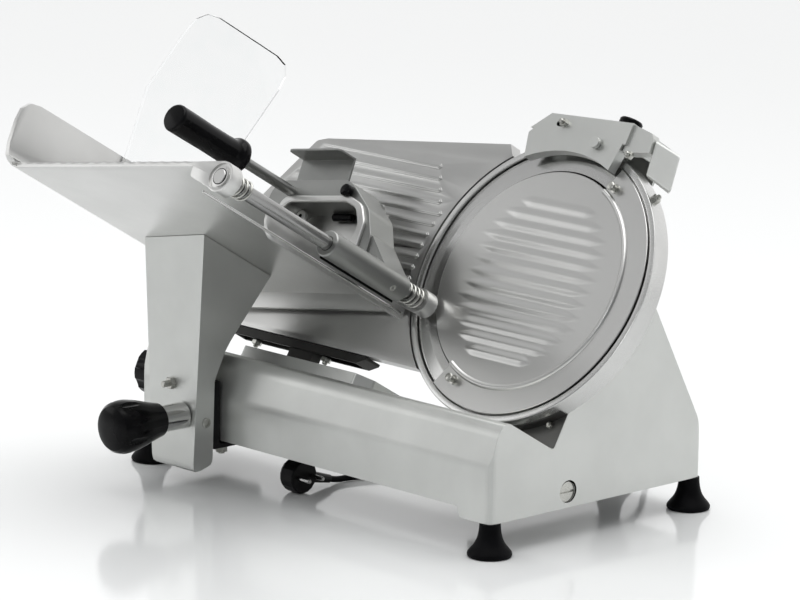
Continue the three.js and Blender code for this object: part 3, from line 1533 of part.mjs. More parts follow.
// Pusher: a hollow casting with a hand opening, joined to the sleeve that slides and turns on the rod
function pusherOutline() {
  return [
    [pusherLeft, pusherBottomUp], [pusherTopLeft, pusherTopUp], [pusherTopRight, pusherTopUp],
    [pusherShoulderAcross, pusherShoulderUp], [pusherShoulderAcross, pusherBottomUp],
  ];
}

function sleeveArmOutline() {
  return [
    [pusherShoulderAcross - pusherWall, pusherBottomUp],
    [pusherShoulderAcross - pusherWall, pusherShoulderUp + pusherWall],
    [pusherShoulderAcross, pusherShoulderUp],
    [rodAcross + sleeveRadius * sleeveTangentShare, rodUp + sleeveRadius * sleeveTangentShare],
    [rodAcross, rodUp], [rodAcross - sleeveRadius * sleeveTangentShare, rodUp],
  ];
}

function handOutline(margin) {
  return rounded([
    [handLeft - margin, handBottomUp - margin], [handRight + margin, handBottomUp - margin],
    [handRight + margin - handCornerRadius / 2, handTopUp + margin],
    [handLeft - margin, handTopUp + margin],
  ], handCornerRadius + margin);
}

function pusherBody() {
  const centre = [rodAcross, 0, rodUp];
  const corners = [pusherCornerRadius / 2, pusherCornerRadius, pusherCornerRadius, pusherCornerRadius / 2,
    0];
  const outline = pusherOutline();
  const whole = prism(rounded(outline, corners), 'y', -pusherFaceAhead, -pusherBackAhead);
  const hollow = prism(rounded(inset(outline, pusherWall), corners), 'y', -pusherFaceAhead + pusherWall,
    -pusherBackAhead + cutOverrun);
  const sleeveArm = prism(sleeveArmOutline(), 'y', -pusherFaceAhead, -pusherBackAhead);
  const lining = prism(handOutline(pusherWall), 'y', -pusherFaceAhead, -pusherBackAhead).intersect(whole);
  const opening = prism(handOutline(0), 'y', -pusherFaceAhead - cutOverrun,
    -pusherBackAhead + cutOverrun);
  const sleeve = rod(sleeveRadius, 'y', -sleeveFarAhead, -sleeveNearAhead, centre, midSides);
  const bore = rod(rodRadius + guideFit, 'y', -sleeveFarAhead - cutOverrun, -sleeveNearAhead + cutOverrun,
    centre, midSides);
  const gripBore = rod(gripStudRadius + clearance, 'y', -pusherFaceAhead - cutOverrun,
    -pusherBackAhead - pusherWall - clearance,
    [gripAcross, 0, gripUp], smallSides);
  const gripBoss = rod(gripNeckRadius, 'y', -pusherFaceAhead + pusherWall / 2, -pusherBackAhead,
    [gripAcross, 0, gripUp], smallSides);
  const screwBoss = rod(lockScrewHeadRadius, 'y', -pusherFaceAhead + pusherWall / 2, -pusherBackAhead,
    [lockScrewAcross, 0, lockScrewUp], smallSides).intersect(whole);
  const screwBore = rod(lockScrewRadius + clearance, 'y', -pusherFaceAhead - cutOverrun,
    -pusherBackAhead - pusherWall - clearance, [lockScrewAcross, 0, lockScrewUp], smallSides);
  const shell = joined([without(whole, [hollow]), lining, sleeveArm, sleeve, gripBoss.intersect(whole),
    screwBoss]);
  return without(shell, [opening, bore, gripBore, screwBore]);
}

// Bent pressing plate on the blade side of the pusher, with rows of spikes
function spike(across, up) {
  const base = -pusherBackAhead + clearance + pressSheet;
  const cone = new THREE.ConeGeometry(spikeHalf, spikeLength + pressSheet / 2, 4);
  cone.translate(across, base - pressSheet / 2 + (spikeLength + pressSheet / 2) / 2, up);
  return toSolid(cone);
}

function pressPlate() {
  const front = -pusherBackAhead + clearance;
  const back = front + pressSheet;
  const face = prism(rounded([
    [pressLeft, pusherBottomUp], [pressRight, pusherBottomUp], [pressRight, pressStepUp],
    [pressTopRight, pressStepUp],
    [pressTopRight, pressTopUp], [pressLeft, pressTopUp],
  ], [pressCornerRadius, pressCornerRadius, pressCornerRadius, pressCornerRadius, 0, 0]), 'y', front,
  back);
  const flange = prism(rounded([
    [pressLeft, back], [pressTopRight, back], [pressTopRight, back - pressFlange],
    [pressLeft, back - pressFlange],
  ], [0, 0, pressCornerRadius, pressCornerRadius]), 'z', pressTopUp - pressSheet, pressTopUp);
  const stepAcross = (pressRight - 2 * spikeMarginAcross) / (spikeColumns - 1);
  const stepUp = (pressStepUp - pusherBottomUp - 2 * spikeMarginUp) / (spikeRows - 1);
  const spikes = Array.from({ length: spikeColumns * spikeRows }, (_, i) => spike(
    pressLeft + spikeMarginAcross + (i % spikeColumns) * stepAcross,
    pusherBottomUp + spikeMarginUp + Math.floor(i / spikeColumns) * stepUp));
  return joined([face, flange, ...spikes]);
}

// Handle with its hand stop, and the stud that holds it
function pusherGrip() {
  const disc = gripStartAhead - gripDiscThickness;
  return turned([
    [0, -gripEndAhead], [gripRadius - gripRounding, -gripEndAhead],
    [gripRadius, -gripEndAhead + gripRounding],
    [gripRadius, -gripStartAhead - gripRounding], [gripDiscRadius - gripRounding / 2, -gripStartAhead],
    [gripDiscRadius, -gripStartAhead + gripDiscThickness / 2], [gripDiscRadius - gripRounding / 2, -disc],
    [gripNeckRadius, -disc], [gripNeckRadius, -disc + 2 * gripDiscThickness],
    [gripStudRadius, -disc + 2 * gripDiscThickness],
    [gripStudRadius, -pusherFaceAhead + gripStudReach], [0, -pusherFaceAhead + gripStudReach],
  ], 'y', [gripAcross, 0, gripUp], midSides);
}

function pusherLockScrew() {
  const seat = -pusherFaceAhead - clearance;
  const front = seat - lockScrewHeadLength;
  return turned([
    [0, front], ...profileOf(lockScrewProfileShares, lockScrewHeadRadius, front, seat),
    [lockScrewRadius, seat], [lockScrewRadius, seat + gripStudReach],
    [0, seat + gripStudReach],
  ], 'y', [lockScrewAcross, 0, lockScrewUp], smallSides);
}

// Clear guard, bent inwards above the tray's wall
function handShield() {
  const left = trayLeft + traySheet + clearance;
  const [leanAcross, leanUp] = [shieldTopReach * Math.sin(shieldBend),
    shieldTopReach * Math.cos(shieldBend)];
  const right = left + shieldSheet;
  const strip = [
    [left, shieldBottomUp], [right, shieldBottomUp], [right, shieldBendUp],
    [right + leanAcross, shieldBendUp + leanUp],
    [left + leanAcross, shieldBendUp + leanUp], [left, shieldBendUp],
  ];
  const limits = rounded([
    [-shieldFarAhead, shieldBottomUp], [-shieldNearAhead, shieldBottomUp],
    [-shieldNearAhead, shieldBendUp + leanUp],
    [-shieldFarAhead, shieldBendUp + leanUp],
  ], [shieldCornerRadius / 3, shieldCornerRadius / 3, shieldCornerRadius, shieldCornerRadius]);
  return prism(strip, 'y', -shieldFarAhead, -shieldNearAhead)
    .intersect(prism(limits, 'x', left - cutOverrun, right + leanAcross + cutOverrun));
}

// Sharpener: a cast hood over the top of the blade, carried by a post behind the guard
function apronOutline() {
  const startAngle = Math.acos(apronLeftLow / apronArcRadius);
  const endAngle = Math.acos(apronRightLow / apronArcRadius);
  return [
    ...arcPoints(apronArcRadius, endAngle, startAngle, midSides / 2), [apronLeftMid, apronLeftMidUp],
    [apronShoulder, apronShoulderUp], [apronRight, apronTopUp],
  ];
}

const postBossTop = () => apronTopUp - sharpenerWall / 2;

function sharpenerHood() {
  const front = -sharpenerFrontAhead;
  const outline = apronOutline();
  const apron = without(prism(outline, 'y', front, -apronBackAhead), [
    prism(inset(outline, sharpenerWall), 'y', front + sharpenerWall, -apronBackAhead + cutOverrun)]);
  const roofOutline = [
    [apronLeftMid, roofInnerUp - sharpenerWall], [apronRight, roofInnerUp - sharpenerWall],
    [apronRight, apronTopUp],
    [apronShoulder, apronShoulderUp],
  ];
  const roof = without(prism(roofOutline, 'y', front, roofBackBehind), [
    prism(inset([
      [apronLeftMid, roofInnerUp - hoodOpenDepth], [apronRight, roofInnerUp - hoodOpenDepth],
      [apronRight, apronTopUp],
      [apronShoulder, apronShoulderUp],
    ], sharpenerWall), 'y', front + sharpenerWall, roofBackBehind - sharpenerWall)]);
  const chamfer = prism([
    [apronRight - sharpenerWall, apronTopUp], [apronRight - sharpenerWall, apronFoldUp],
    [apronFoldAcross, apronFoldUp],
    [boxLeft + boxSeat * (boxLowLeft - boxLeft) / (boxFoldUp - boxLowLeftUp), boxFoldUp - boxSeat],
    [boxLeft, boxFoldUp],
    [apronChamferAcross, apronChamferUp],
  ], 'y', front + sharpenerWall, 0);
  const postBoss = rod(postBossRadius, 'z', roofInnerUp - sharpenerWall, postBossTop(),
    [postAcross, postBehind, 0], midSides);
  const postBore = rod(postRadius + guideFit, 'z', roofInnerUp - postBoreDepth,
    apronTopUp - 2 * sharpenerWall,
    [postAcross, postBehind, 0], midSides);
  const shaftHoles = [
    rod(stoneShaftRadius + clearance, 'y', roofBackBehind - sharpenerWall - cutOverrun,
      roofBackBehind + cutOverrun,
      [grindAcross, 0, stoneShaftUp()], smallSides),
    rod(stoneShaftRadius + clearance, 'y', front - cutOverrun, front + sharpenerWall + cutOverrun,
      [truingAcross, 0, truingUp], smallSides),
  ];
  const backWall = prism([
    [apronLeftMid + sharpenerWall, stoneShaftUp() - stoneButtonRadius],
    [apronRight - sharpenerWall, stoneShaftUp() - stoneButtonRadius],
    [apronRight - sharpenerWall, roofInnerUp], [apronLeftMid + sharpenerWall, roofInnerUp],
  ], 'y', roofBackBehind - sharpenerWall, roofBackBehind);
  return without(joined([apron, roof, chamfer, postBoss, backWall]), [postBore, ...shaftHoles]);
}

const stoneShaftUp = () => grindUp;

function sharpenerBox() {
  const outline = [
    [boxLeft + clearance, boxFoldUp], [boxRight, boxRightUp], [boxLowRight, boxLowRightUp],
    [boxLowLeft, boxLowLeftUp],
  ];
  const whole = prism(rounded(outline,
    [0, sharpenerCornerRadius, sharpenerCornerRadius, sharpenerCornerRadius]), 'y',
    -boxFrontAhead, boxBackBehind);
  const hollow = prism(inset(outline, sharpenerWall), 'y', -boxFrontAhead + sharpenerWall,
    boxBackBehind + cutOverrun);
  return without(whole, [hollow]);
}

function sharpenerPost() {
  const top = apronTopUp - 2 * sharpenerWall - postTopGap;
  return rod(postRadius, 'z', postBaseUp, top, [postAcross, postBehind, 0], midSides);
}

function clampKnob() {
  const seat = postBossTop() + clearance;
  const top = seat + clampKnobHeight;
  return turned([
    [0, seat], ...profileOf(clampKnobProfileShares, clampKnobRadius, seat, top), [0, top],
  ], 'z', [postAcross, postBehind, 0], midSides);
}

// Each stone sits on its own shaft and is pressed to the edge by the button on the shaft's other end
function grindingStone() {
  return pipe(stoneRadius, stoneShaftRadius + clearance, 'y', grindFrontBehind,
    grindFrontBehind + stoneThickness,
    [grindAcross, 0, grindUp]);
}

function grindingShaft() {
  const centre = [grindAcross, 0, grindUp];
  const seat = roofBackBehind + clearance + stoneTravel;
  return joined([
    rod(stoneShaftRadius, 'y', grindFrontBehind, seat + stoneButtonLength / 2, centre, smallSides),
    rod(stoneButtonRadius, 'y', seat, seat + stoneButtonLength, centre, midSides),
  ]);
}

function truingStone() {
  return pipe(truingRadius, stoneShaftRadius + clearance, 'y', truingBackBehind - truingThickness,
    truingBackBehind,
    [truingAcross, 0, truingUp]);
}

function truingShaft() {
  const centre = [truingAcross, 0, truingUp];
  const seat = -sharpenerFrontAhead - clearance - stoneTravel;
  return joined([
    rod(stoneShaftRadius, 'y', seat - stoneButtonLength / 4, truingBackBehind, centre, smallSides),
    rod(truingButtonRadius, 'y', seat - stoneButtonLength / 3, seat, centre, midSides),
  ]);
}

// Switch with its two buttons in the left end wall
function switchCase() {
  const outer = beamLeftEnd - clearance;
  const bezel = block(
    outer - switchBezel, outer, switchDepthNear - switchBezelMargin, switchDepthFar + switchBezelMargin,
    switchBottom - switchBezelMargin, switchTop + switchBezelMargin);
  const body = block(outer - switchBezel / 2, beamLeftEnd + switchBody, switchDepthNear, switchDepthFar,
    switchBottom, switchTop);
  const ways = buttonDepths()
    .map((depth) => rod(buttonRadius + guideFit, 'x', outer - switchBezel - cutOverrun,
    outer + buttonStem + buttonTravel + clearance, [0, depth, (switchBottom + switchTop) / 2],
      smallSides));
  return without(bezel.add(body), ways);
}

const buttonDepths = () => {
  const quarter = (switchDepthFar - switchDepthNear) / 4;
  return [switchDepthNear + quarter, switchDepthFar - quarter];
};

function pushButton(depth) {
  const outer = beamLeftEnd - clearance - switchBezel - buttonProud;
  return rod(buttonRadius, 'x', outer, outer + switchBezel + buttonProud + buttonStem,
    [0, depth, (switchBottom + switchTop) / 2], smallSides);
}

// Strain relief, plug and cord
function strainRelief() {
  const seat = baseDepth + clearance;
  return turned([
    [0, baseDepth - reliefNeckLength], [reliefNeckRadius, baseDepth - reliefNeckLength],
    [reliefNeckRadius, seat],
    [reliefFlangeRadius, seat], [reliefFlangeRadius, seat + reliefFlangeThickness],
    [reliefNeckRadius, seat + reliefFlangeThickness], [reliefTipRadius, seat + reliefLength],
    [0, seat + reliefLength],
  ], 'y', [reliefAcross, 0, reliefHeight], midSides);
}

const plugHeight = () => plugRadius + plugFloorGap;

function mainsPlug() {
  const height = plugHeight();
  const left = plugAcross - plugLength / 2;
  const right = plugAcross + plugLength / 2;
  const body = turned([
    [0, left], [plugRadius - 2 * plugRounding, left],
    [plugRadius - plugRounding / 2, left + plugRounding],
    [plugRadius, left + 2 * plugRounding], [plugRadius, right - plugRounding / 2],
    [plugRadius - plugRounding / 2, right],
    [0, right],
  ], 'x', [0, plugDepth, height], midSides);
  const pins = [-1, 1].map((side) => rod(plugPinRadius, 'x', right - plugRounding, right + plugPinLength,
    [0, plugDepth + (side * plugPinSpacing) / 2, height], smallSides));
  const neck = turned([
    [0, plugRadius - plugNeckSunk], [plugNeckRadius, plugRadius - plugNeckSunk],
    [plugNeckTipRadius, plugRadius + plugNeckLength],
    [0, plugRadius + plugNeckLength],
  ], 'y', [0, 0, 0], smallSides);
  const turn = new THREE.Matrix4().makeRotationX(-plugNeckTurn)
    .setPosition(plugAcross, plugDepth, height);
  return joined([body, ...pins, neck.transform(turn.elements)]);
}

function neckEnd() {
  const reach = plugRadius + plugNeckLength + clearance;
  return [plugAcross, plugDepth + reach * Math.cos(plugNeckTurn),
    plugHeight() - reach * Math.sin(plugNeckTurn)];
}

// Centre line of the coil: in on the lower layer, up in half a turn, out on the upper layer
function coilTurnPoints() {
  const innerRadius = coilOuterRadius - coilPitch * coilTurnsPerLayer;
  const layerSteps = coilTurnsPerLayer * coilStepsPerTurn;
  const climbSteps = coilStepsPerTurn / 2;
  const total = 2 * layerSteps + climbSteps;
  const floor = cordRadius + plugFloorGap;
  return Array.from({ length: total + 1 }, (_, i) => {
    const angle = (2 * Math.PI * i) / coilStepsPerTurn;
    const climb = THREE.MathUtils.clamp((i - layerSteps) / climbSteps, 0, 1);
    const smooth = climb * climb * (3 - 2 * climb);
    const inward = Math.min(i, layerSteps) / coilStepsPerTurn;
    const outward = Math.max(i - layerSteps - climbSteps, 0) / coilStepsPerTurn;
    const turnRadius = i <= layerSteps + climbSteps
      ? coilOuterRadius - coilPitch * inward : innerRadius + coilPitch * outward;
    const radius = turnRadius - coilDip * Math.sin(Math.PI * climb);
    return [
      coilAcross + radius * Math.cos(angle), coilDepth + radius * Math.sin(angle),
        floor + coilLift * smooth,
    ];
  });
}

// The coil's two ends run straight for one diameter
function coilPoints() {
  const points = coilTurnPoints();
  const lead = 2 * cordRadius;
  const [startX, startY, startZ] = points[0];
  const [endX, endY, endZ] = points.at(-1);
  return [[startX, startY - lead, startZ], ...points, [endX, endY - lead, endZ]];
}

function cordCoil() {
  const points = coilPoints();
  console.log('cord coil least gap', leastGap(points, cordRadius, coilStepsPerTurn / 2).toFixed(2));
  return tubeThrough(points, cordRadius, coilSides);
}

// A free stretch of cord as an extruded round section
function cordStretch(route) {
  const curve = new THREE.CatmullRomCurve3(route.map((point) => new THREE.Vector3(...point)), false,
    'centripetal');
  const section = new THREE.Shape(arcPoints(cordRadius, 0, 2 * Math.PI, cordSides).slice(0, cordSides)
    .map(([u, v]) => new THREE.Vector2(u, v)));
  const steps = Math.round(curve.getLength() / (cordRadius * cordStepShare));
  console.log('cord stretch length', curve.getLength().toFixed(1));
  return toSolid(new THREE.ExtrudeGeometry(section, { steps, bevelEnabled: false, extrudePath: curve }));
}

// A point one clearance off a given end, back along the line towards its neighbour
function offEnd(end, neighbour) {
  const away = new THREE.Vector3(...end).sub(new THREE.Vector3(...neighbour)).setLength(clearance);
  return [end[0] + away.x, end[1] + away.y, end[2] + away.z];
}

function reliefStretch() {
  const coil = coilPoints();
  return cordStretch([...reliefRoute, offEnd(coil[0], coil[1])]);
}

function plugStretch() {
  const coil = coilPoints();
  return cordStretch([offEnd(coil.at(-1), coil.at(-2)), ...plugRoute, neckEnd()]);
}

// The pieces, from the base outwards
piece('base_housing', baseHousing(), castAluminium());
for (const [name, place] of Object.entries(footPlaces)) piece(name, foot(place), blackRubber());
piece('bottom_cover', bottomCover(), polishedSteel());
piece('access_plug', accessPlug(), polishedSteel());
piece('guard_ring', guardRing(), anodisedSheet(), knifePlane);
piece('blade', blade(), polishedSteel(), knifePlane);
piece('blade_cover', bladeCover(), anodisedSheet(), knifePlane);
piece('blade_spindle', bladeSpindle(), polishedSteel(), knifePlane);
piece('bearing_housing', bearingHousing(), castAluminium(), knifePlane);
piece('bearing_front', bearing(bearingFrontBehind), polishedSteel(), knifePlane);
piece('bearing_rear', bearing(bearingRearBehind), polishedSteel(), knifePlane);
piece('driven_pulley', drivenPulley(), castAluminium(), knifePlane);
piece('motor_pulley', motorPulley(), darkSteel(), knifePlane);
piece('motor', motorBody(), painted(), knifePlane);
piece('motor_bracket', motorBracket(), darkSteel(), knifePlane);
piece('drive_belt', driveBelt(), blackRubber(), knifePlane);
piece('cover_tie_rod', coverTieRod(), darkSteel(), knifePlane);
piece('gauge_plate', gaugePlate(), anodisedSheet(), knifePlane);
piece('gauge_carrier', gaugeCarrier(), darkSteel(), knifePlane);
piece('gauge_slide', gaugeSlide(), castAluminium(), knifePlane);
piece('gauge_guide', gaugeGuide(), polishedSteel(), knifePlane);
piece('thickness_knob', thicknessKnob(), blackPlastic());
piece('thickness_scroll', thicknessScroll(), castAluminium());
piece('slide_rod', beamRod(slideRodRadius, slideRodDepth, slideRodHeight), polishedSteel());
piece('steady_rod', beamRod(steadyRodRadius, steadyRodDepth, steadyRodHeight), polishedSteel());
piece('runner_block', runnerBlock(), castAluminium());
piece('slide_bush', slideBush(), bronze());
piece('slide_bracket', slideBracket(), darkSteel());
piece('bracket_bolt', bracketBolt(), polishedSteel());
piece('carriage_arm', carriageArm(), castAluminium());
piece('lock_sleeve', lockSleeve(), polishedSteel());
piece('lock_knob', lockKnob(), blackPlastic());
piece('carriage_tray', carriageTray(), anodisedSheet(), trayPlane);
piece('pusher_rod', pusherRod(), polishedSteel(), trayPlane);
piece('buffer_spring_outer', bufferSpring(-lugOuterAhead + lugOuterDepth + clearance), polishedSteel(),
  trayPlane);
piece('buffer_spring_inner', bufferSpring(-lugInnerAhead - lugInnerDepth - clearance - springLength),
  polishedSteel(), trayPlane);
piece('pusher_body', pusherBody(), castAluminium(), trayPlane);
piece('press_plate', pressPlate(), anodisedSheet(), trayPlane);
piece('pusher_grip', pusherGrip(), blackPlastic(), trayPlane);
piece('pusher_lock_screw', pusherLockScrew(), blackPlastic(), trayPlane);
piece('hand_shield', handShield(), clearAcrylic(), trayPlane);
piece('sharpener_hood', sharpenerHood(), castAluminium(), knifePlane);
piece('sharpener_box', sharpenerBox(), castAluminium(), knifePlane);
piece('sharpener_post', sharpenerPost(), polishedSteel(), knifePlane);
piece('clamp_knob', clampKnob(), blackPlastic(), knifePlane);
piece('grinding_stone', grindingStone(), abrasive(), knifePlane);
piece('grinding_shaft', grindingShaft(), polishedSteel(), knifePlane);
piece('truing_stone', truingStone(), abrasive(), knifePlane);
piece('truing_shaft', truingShaft(), polishedSteel(), knifePlane);
piece('switch_case', switchCase(), blackPlastic());
const [startDepth, stopDepth] = buttonDepths();
piece('start_button', pushButton(startDepth), greenPlastic());
piece('stop_button', pushButton(stopDepth), redPlastic());
piece('strain_relief', strainRelief(), blackRubber());
piece('mains_plug', mainsPlug(), blackPlastic());
piece('cord_from_base', reliefStretch(), blackRubber());
piece('cord_coil', cordCoil(), blackRubber());

// The origin is on the standing surface, under the middle of the object without its cord
const cordPieces = ['mains_plug', 'cord_from_base', 'cord_coil', 'cord_to_plug', 'strain_relief'];
piece('cord_to_plug', plugStretch(), blackRubber());
slicer.updateMatrixWorld(true);
const extent = new THREE.Box3();
slicer.traverse((item) => {
  if (item.isMesh && !cordPieces.includes(item.name)) extent.expandByObject(item, true);
});
const middle = extent.getCenter(new THREE.Vector3());
slicer.position.set(-middle.x, -middle.y, -extent.min.z);
slicer.updateMatrixWorld(true);

export default slicer;
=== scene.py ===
"""Gravity feed food slicer: the visual model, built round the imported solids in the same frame."""

import math

import bpy
from bpy.props import FloatProperty, FloatVectorProperty, IntProperty, PointerProperty
from mathutils import Matrix, Vector


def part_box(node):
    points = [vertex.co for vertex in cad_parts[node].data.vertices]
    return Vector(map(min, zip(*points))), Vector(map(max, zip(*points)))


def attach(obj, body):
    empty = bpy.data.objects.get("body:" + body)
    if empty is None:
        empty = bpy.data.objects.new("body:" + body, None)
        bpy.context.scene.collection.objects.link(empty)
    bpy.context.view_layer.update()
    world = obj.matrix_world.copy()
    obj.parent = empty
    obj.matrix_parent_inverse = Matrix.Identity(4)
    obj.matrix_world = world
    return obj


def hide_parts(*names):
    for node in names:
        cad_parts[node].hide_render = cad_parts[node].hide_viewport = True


bl_info = {
    "name": "Gravity feed slicer",
    "version": (1, 0, 0),
    "blender": (4, 5, 0),
    "location": "View3D > Sidebar > Slicer",
    "description": "Builds the visual model of a gravity feed food slicer",
    "category": "Object",
}

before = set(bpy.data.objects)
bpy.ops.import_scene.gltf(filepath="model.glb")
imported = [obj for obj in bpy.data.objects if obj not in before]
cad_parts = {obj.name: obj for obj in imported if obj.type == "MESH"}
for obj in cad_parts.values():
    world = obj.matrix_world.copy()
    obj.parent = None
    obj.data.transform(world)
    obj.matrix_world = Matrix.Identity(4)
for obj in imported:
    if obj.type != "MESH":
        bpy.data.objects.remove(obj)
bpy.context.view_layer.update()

# Sizes and places are in millimetres, unless a comment says otherwise
MM = 0.001

# The solids' frames: the base's zero, the blade's tilted frame and the tray's turned one
ORIGIN_SHIFT = (158.65, -65.568, 0.0)
KNIFE_TILT = math.radians(30.58)
KNIFE_CENTRE = (0.0, 152.0, 254.2)
TRAY_TURN = math.radians(9.0)
TRAY_ORIGIN = (-310.0, 0.0, -72.8)

# Lines that several pieces share, each given by a point on it
BLADE_LINE = (0, 0, 0)
LOCK_LINE = (-332, 0, 77.8)
ROD_LINE = (192.6, 0, -11.5)
GRIP_LINE = (41, 0, 80)

# Camera solved from the photograph; it sees as far as its reach, in metres
CAMERA_PLACE = (3221.6, -3121.9, 1208.3)
CAMERA_AZIMUTH = math.radians(46.23)
CAMERA_ELEVATION = math.radians(12.02)
CAMERA_ROLL = math.radians(0.86)
CAMERA_LENS = 201.87
CAMERA_REACH = 100
SENSOR_WIDTH = 36.0

# Facets round turned pieces that don't take them from the panel
HEXAGON = 6
TINY_STEPS = 20
SLIM_STEPS = 24
STUD_STEPS = 32
STEM_STEPS = 40
GRIP_STEPS = 64
KNOB_STEPS = 96

# Vertices closer than this, in metres, are one: in a new piece, and in a copy of a solid
NEW_MERGE = 1e-6
COPY_MERGE = 2e-6
FACET_ANGLE = math.radians(1.5)

# Roundings of the edges of small pieces
EDGES = {
    "access_plug": 0.5, "bottom_cover": 0.2, "cover_tie_rod": 0.6, "gauge_carrier": 0.8, "gauge_slide": 0.8,
    "thickness_knob": 1.5, "slide_bracket": 1.0, "bracket_bolt": 0.4, "runner_block": 0.8, "lock_knob": 0.8,
    "hand_shield": 0.5, "hand_rim_highlight": 1.9, "clamp_knob": 1.2, "sharpener_post": 0.6, "grinding_shaft": 0.4,
    "truing_shaft": 0.4, "switch_case": 0.5, "start_button": 0.6, "stop_button": 0.6,
}

# Hexagon heads: width over the flats, height, the thread's radius and how far its end reaches
HEADS = {
    "valley_screw": (6.4, 4, 2, 6), "ring_nut": (9, 5, 2.6, 8), "carrier_bolt": (10, 5, 3, 8),
    "arm_stud": (12, 5.5, 3.6, 14), "hood_screw": (8.4, 5, 2.8, 9), "recess_screw": (8.4, 5, 2.8, 9),
}
HEAD_SHARES = [(0, 0), (0.94, 0), (1, 0.12), (1, 0.85), (0.9, 1), (0, 1)]
THREAD_TIP_SHARE = 0.3


def metres(point):
    return Vector(point) * MM


BASE_FRAME = Matrix.Translation(metres(ORIGIN_SHIFT))
KNIFE_FRAME = BASE_FRAME @ Matrix.Translation(metres(KNIFE_CENTRE)) @ Matrix.Rotation(-KNIFE_TILT, 4, "X")
TRAY_FRAME = KNIFE_FRAME @ Matrix.Translation(metres(TRAY_ORIGIN)) @ Matrix.Rotation(-TRAY_TURN, 4, "Y")
FRAMES = {"base": BASE_FRAME, "knife": KNIFE_FRAME, "tray": TRAY_FRAME}
ALONG = {
    "x": Matrix.Rotation(math.pi / 2, 4, "Y"),
    "y": Matrix.Rotation(-math.pi / 2, 4, "X"),
    "-y": Matrix.Rotation(math.pi / 2, 4, "X"),
    "z": Matrix.Identity(4),
    "-z": Matrix.Rotation(math.pi, 4, "X"),
}
FULL_TURN = (0, 360)


class SlicerSizes(bpy.types.PropertyGroup):
    cast_edge: FloatProperty(
        name="Cast edge", description="Rounding of the edges of cast pieces",
        default=1.4 * MM, unit="LENGTH")
    sheet_edge: FloatProperty(
        name="Sheet edge", description="Rounding of the edges of sheet pieces",
        default=0.5 * MM, unit="LENGTH")
    round_steps: IntProperty(
        name="Round steps", description="Facets round the large turned pieces", default=192)
    small_steps: IntProperty(
        name="Small steps", description="Facets round the small turned pieces", default=48)
    rib_height: FloatProperty(
        name="Rib height", description="How far the pressed ribs stand out of the cover",
        default=1.25 * MM, unit="LENGTH")


class SlicerColours(bpy.types.PropertyGroup):
    cast: FloatVectorProperty(
        name="Cast", description="Blasted cast aluminium",
        default=(0.65, 0.66, 0.64), subtype="COLOR", size=3)
    sheet: FloatVectorProperty(
        name="Sheet", description="Anodised aluminium sheet",
        default=(0.52, 0.52, 0.51), subtype="COLOR", size=3)
    steel: FloatVectorProperty(
        name="Steel", description="Polished steel",
        default=(0.62, 0.62, 0.61), subtype="COLOR", size=3)
    plastic: FloatVectorProperty(
        name="Plastic", description="Black moulded plastic",
        default=(0.004, 0.004, 0.0045), subtype="COLOR", size=3)
    floor: FloatVectorProperty(
        name="Floor", description="Pale floor",
        default=(0.86, 0.87, 0.87), subtype="COLOR", size=3)


# Materials: how a grain is drawn out, the scales of the noises, how deep their bumps are in metres, and
# the tones that the panel doesn't set

EVEN = (1, 1, 1)
LENGTHWISE = (0.03, 1, 1)
ROUNDWISE = (1, 0.05, 1)
METAL_CLOUD = 14.0
PLASTIC_CLOUD = 40.0
CLEAR_CLOUD = 60.0
GRIT_SCALE = 1600.0
METAL_BUMP = 0.0002
PLASTIC_BUMP = 0.0001
GRIT_BUMP = 0.0004
SHADED = (0.13, 0.13, 0.125)
# Painted shade: the black of the dark marks that stand in for shadow in gaps, grooves, slots and holes
SHADOW_BLACK = (0.002, 0.002, 0.002)
BLACKENED = (0.045, 0.044, 0.042)
ZINC = (0.5, 0.5, 0.47)
BRONZE = (0.36, 0.22, 0.09)
DARK_PAINT = (0.03, 0.034, 0.038)
GREEN = (0.02, 0.19, 0.06)
RED = (0.35, 0.012, 0.01)
PLASTIC_SHARES = (0.8, 1.3)
GRIT_TONES = (0.18, 0.17, 0.16), (0.42, 0.4, 0.37)
GRIT_ROUGHNESS = 0.95
GRIT_STRENGTH = 0.6
CLEAR_TONES = (0.98, 0.99, 0.99), (1, 1, 1)
CLEAR_ROUGHNESS = (0.0, 0.02)
CLEAR_BENDING = 1.2


def shader(name):
    material = bpy.data.materials.new(name)
    material.use_nodes = True
    tree = material.node_tree
    return material, tree, tree.nodes["Principled BSDF"]


def add(tree, kind, **values):
    node = tree.nodes.new(kind)
    for key, value in values.items():
        setattr(node, key, value)
    return node


def object_noise(tree, scale, stretch=EVEN, detail=4.0):
    """Noise on object coordinates, drawn out along an axis by a small stretch there."""
    coordinates = add(tree, "ShaderNodeTexCoord")
    mapping = add(tree, "ShaderNodeMapping")
    mapping.inputs["Scale"].default_value = stretch
    noise = add(tree, "ShaderNodeTexNoise")
    noise.inputs["Scale"].default_value = scale
    noise.inputs["Detail"].default_value = detail
    tree.links.new(coordinates.outputs["Object"], mapping.inputs["Vector"])
    tree.links.new(mapping.outputs["Vector"], noise.inputs["Vector"])
    return noise.outputs["Fac"]


def ramp(tree, factor, low, high, start=0.35, end=0.65):
    """A colour that goes from low to high between two values of the factor."""
    node = add(tree, "ShaderNodeValToRGB")
    node.color_ramp.elements[0].position = start
    node.color_ramp.elements[1].position = end
    node.color_ramp.elements[0].color = (*low, 1)
    node.color_ramp.elements[1].color = (*high, 1)
    tree.links.new(factor, node.inputs["Fac"])
    return node.outputs["Color"]


def spread(tree, factor, low, high, start=0.3, end=0.7):
    """A number that goes from low to high between two values of the factor."""
    node = add(tree, "ShaderNodeMapRange")
    node.inputs["From Min"].default_value = start
    node.inputs["From Max"].default_value = end
    node.inputs["To Min"].default_value = low
    node.inputs["To Max"].default_value = high
    tree.links.new(factor, node.inputs["Value"])
    return node.outputs["Result"]


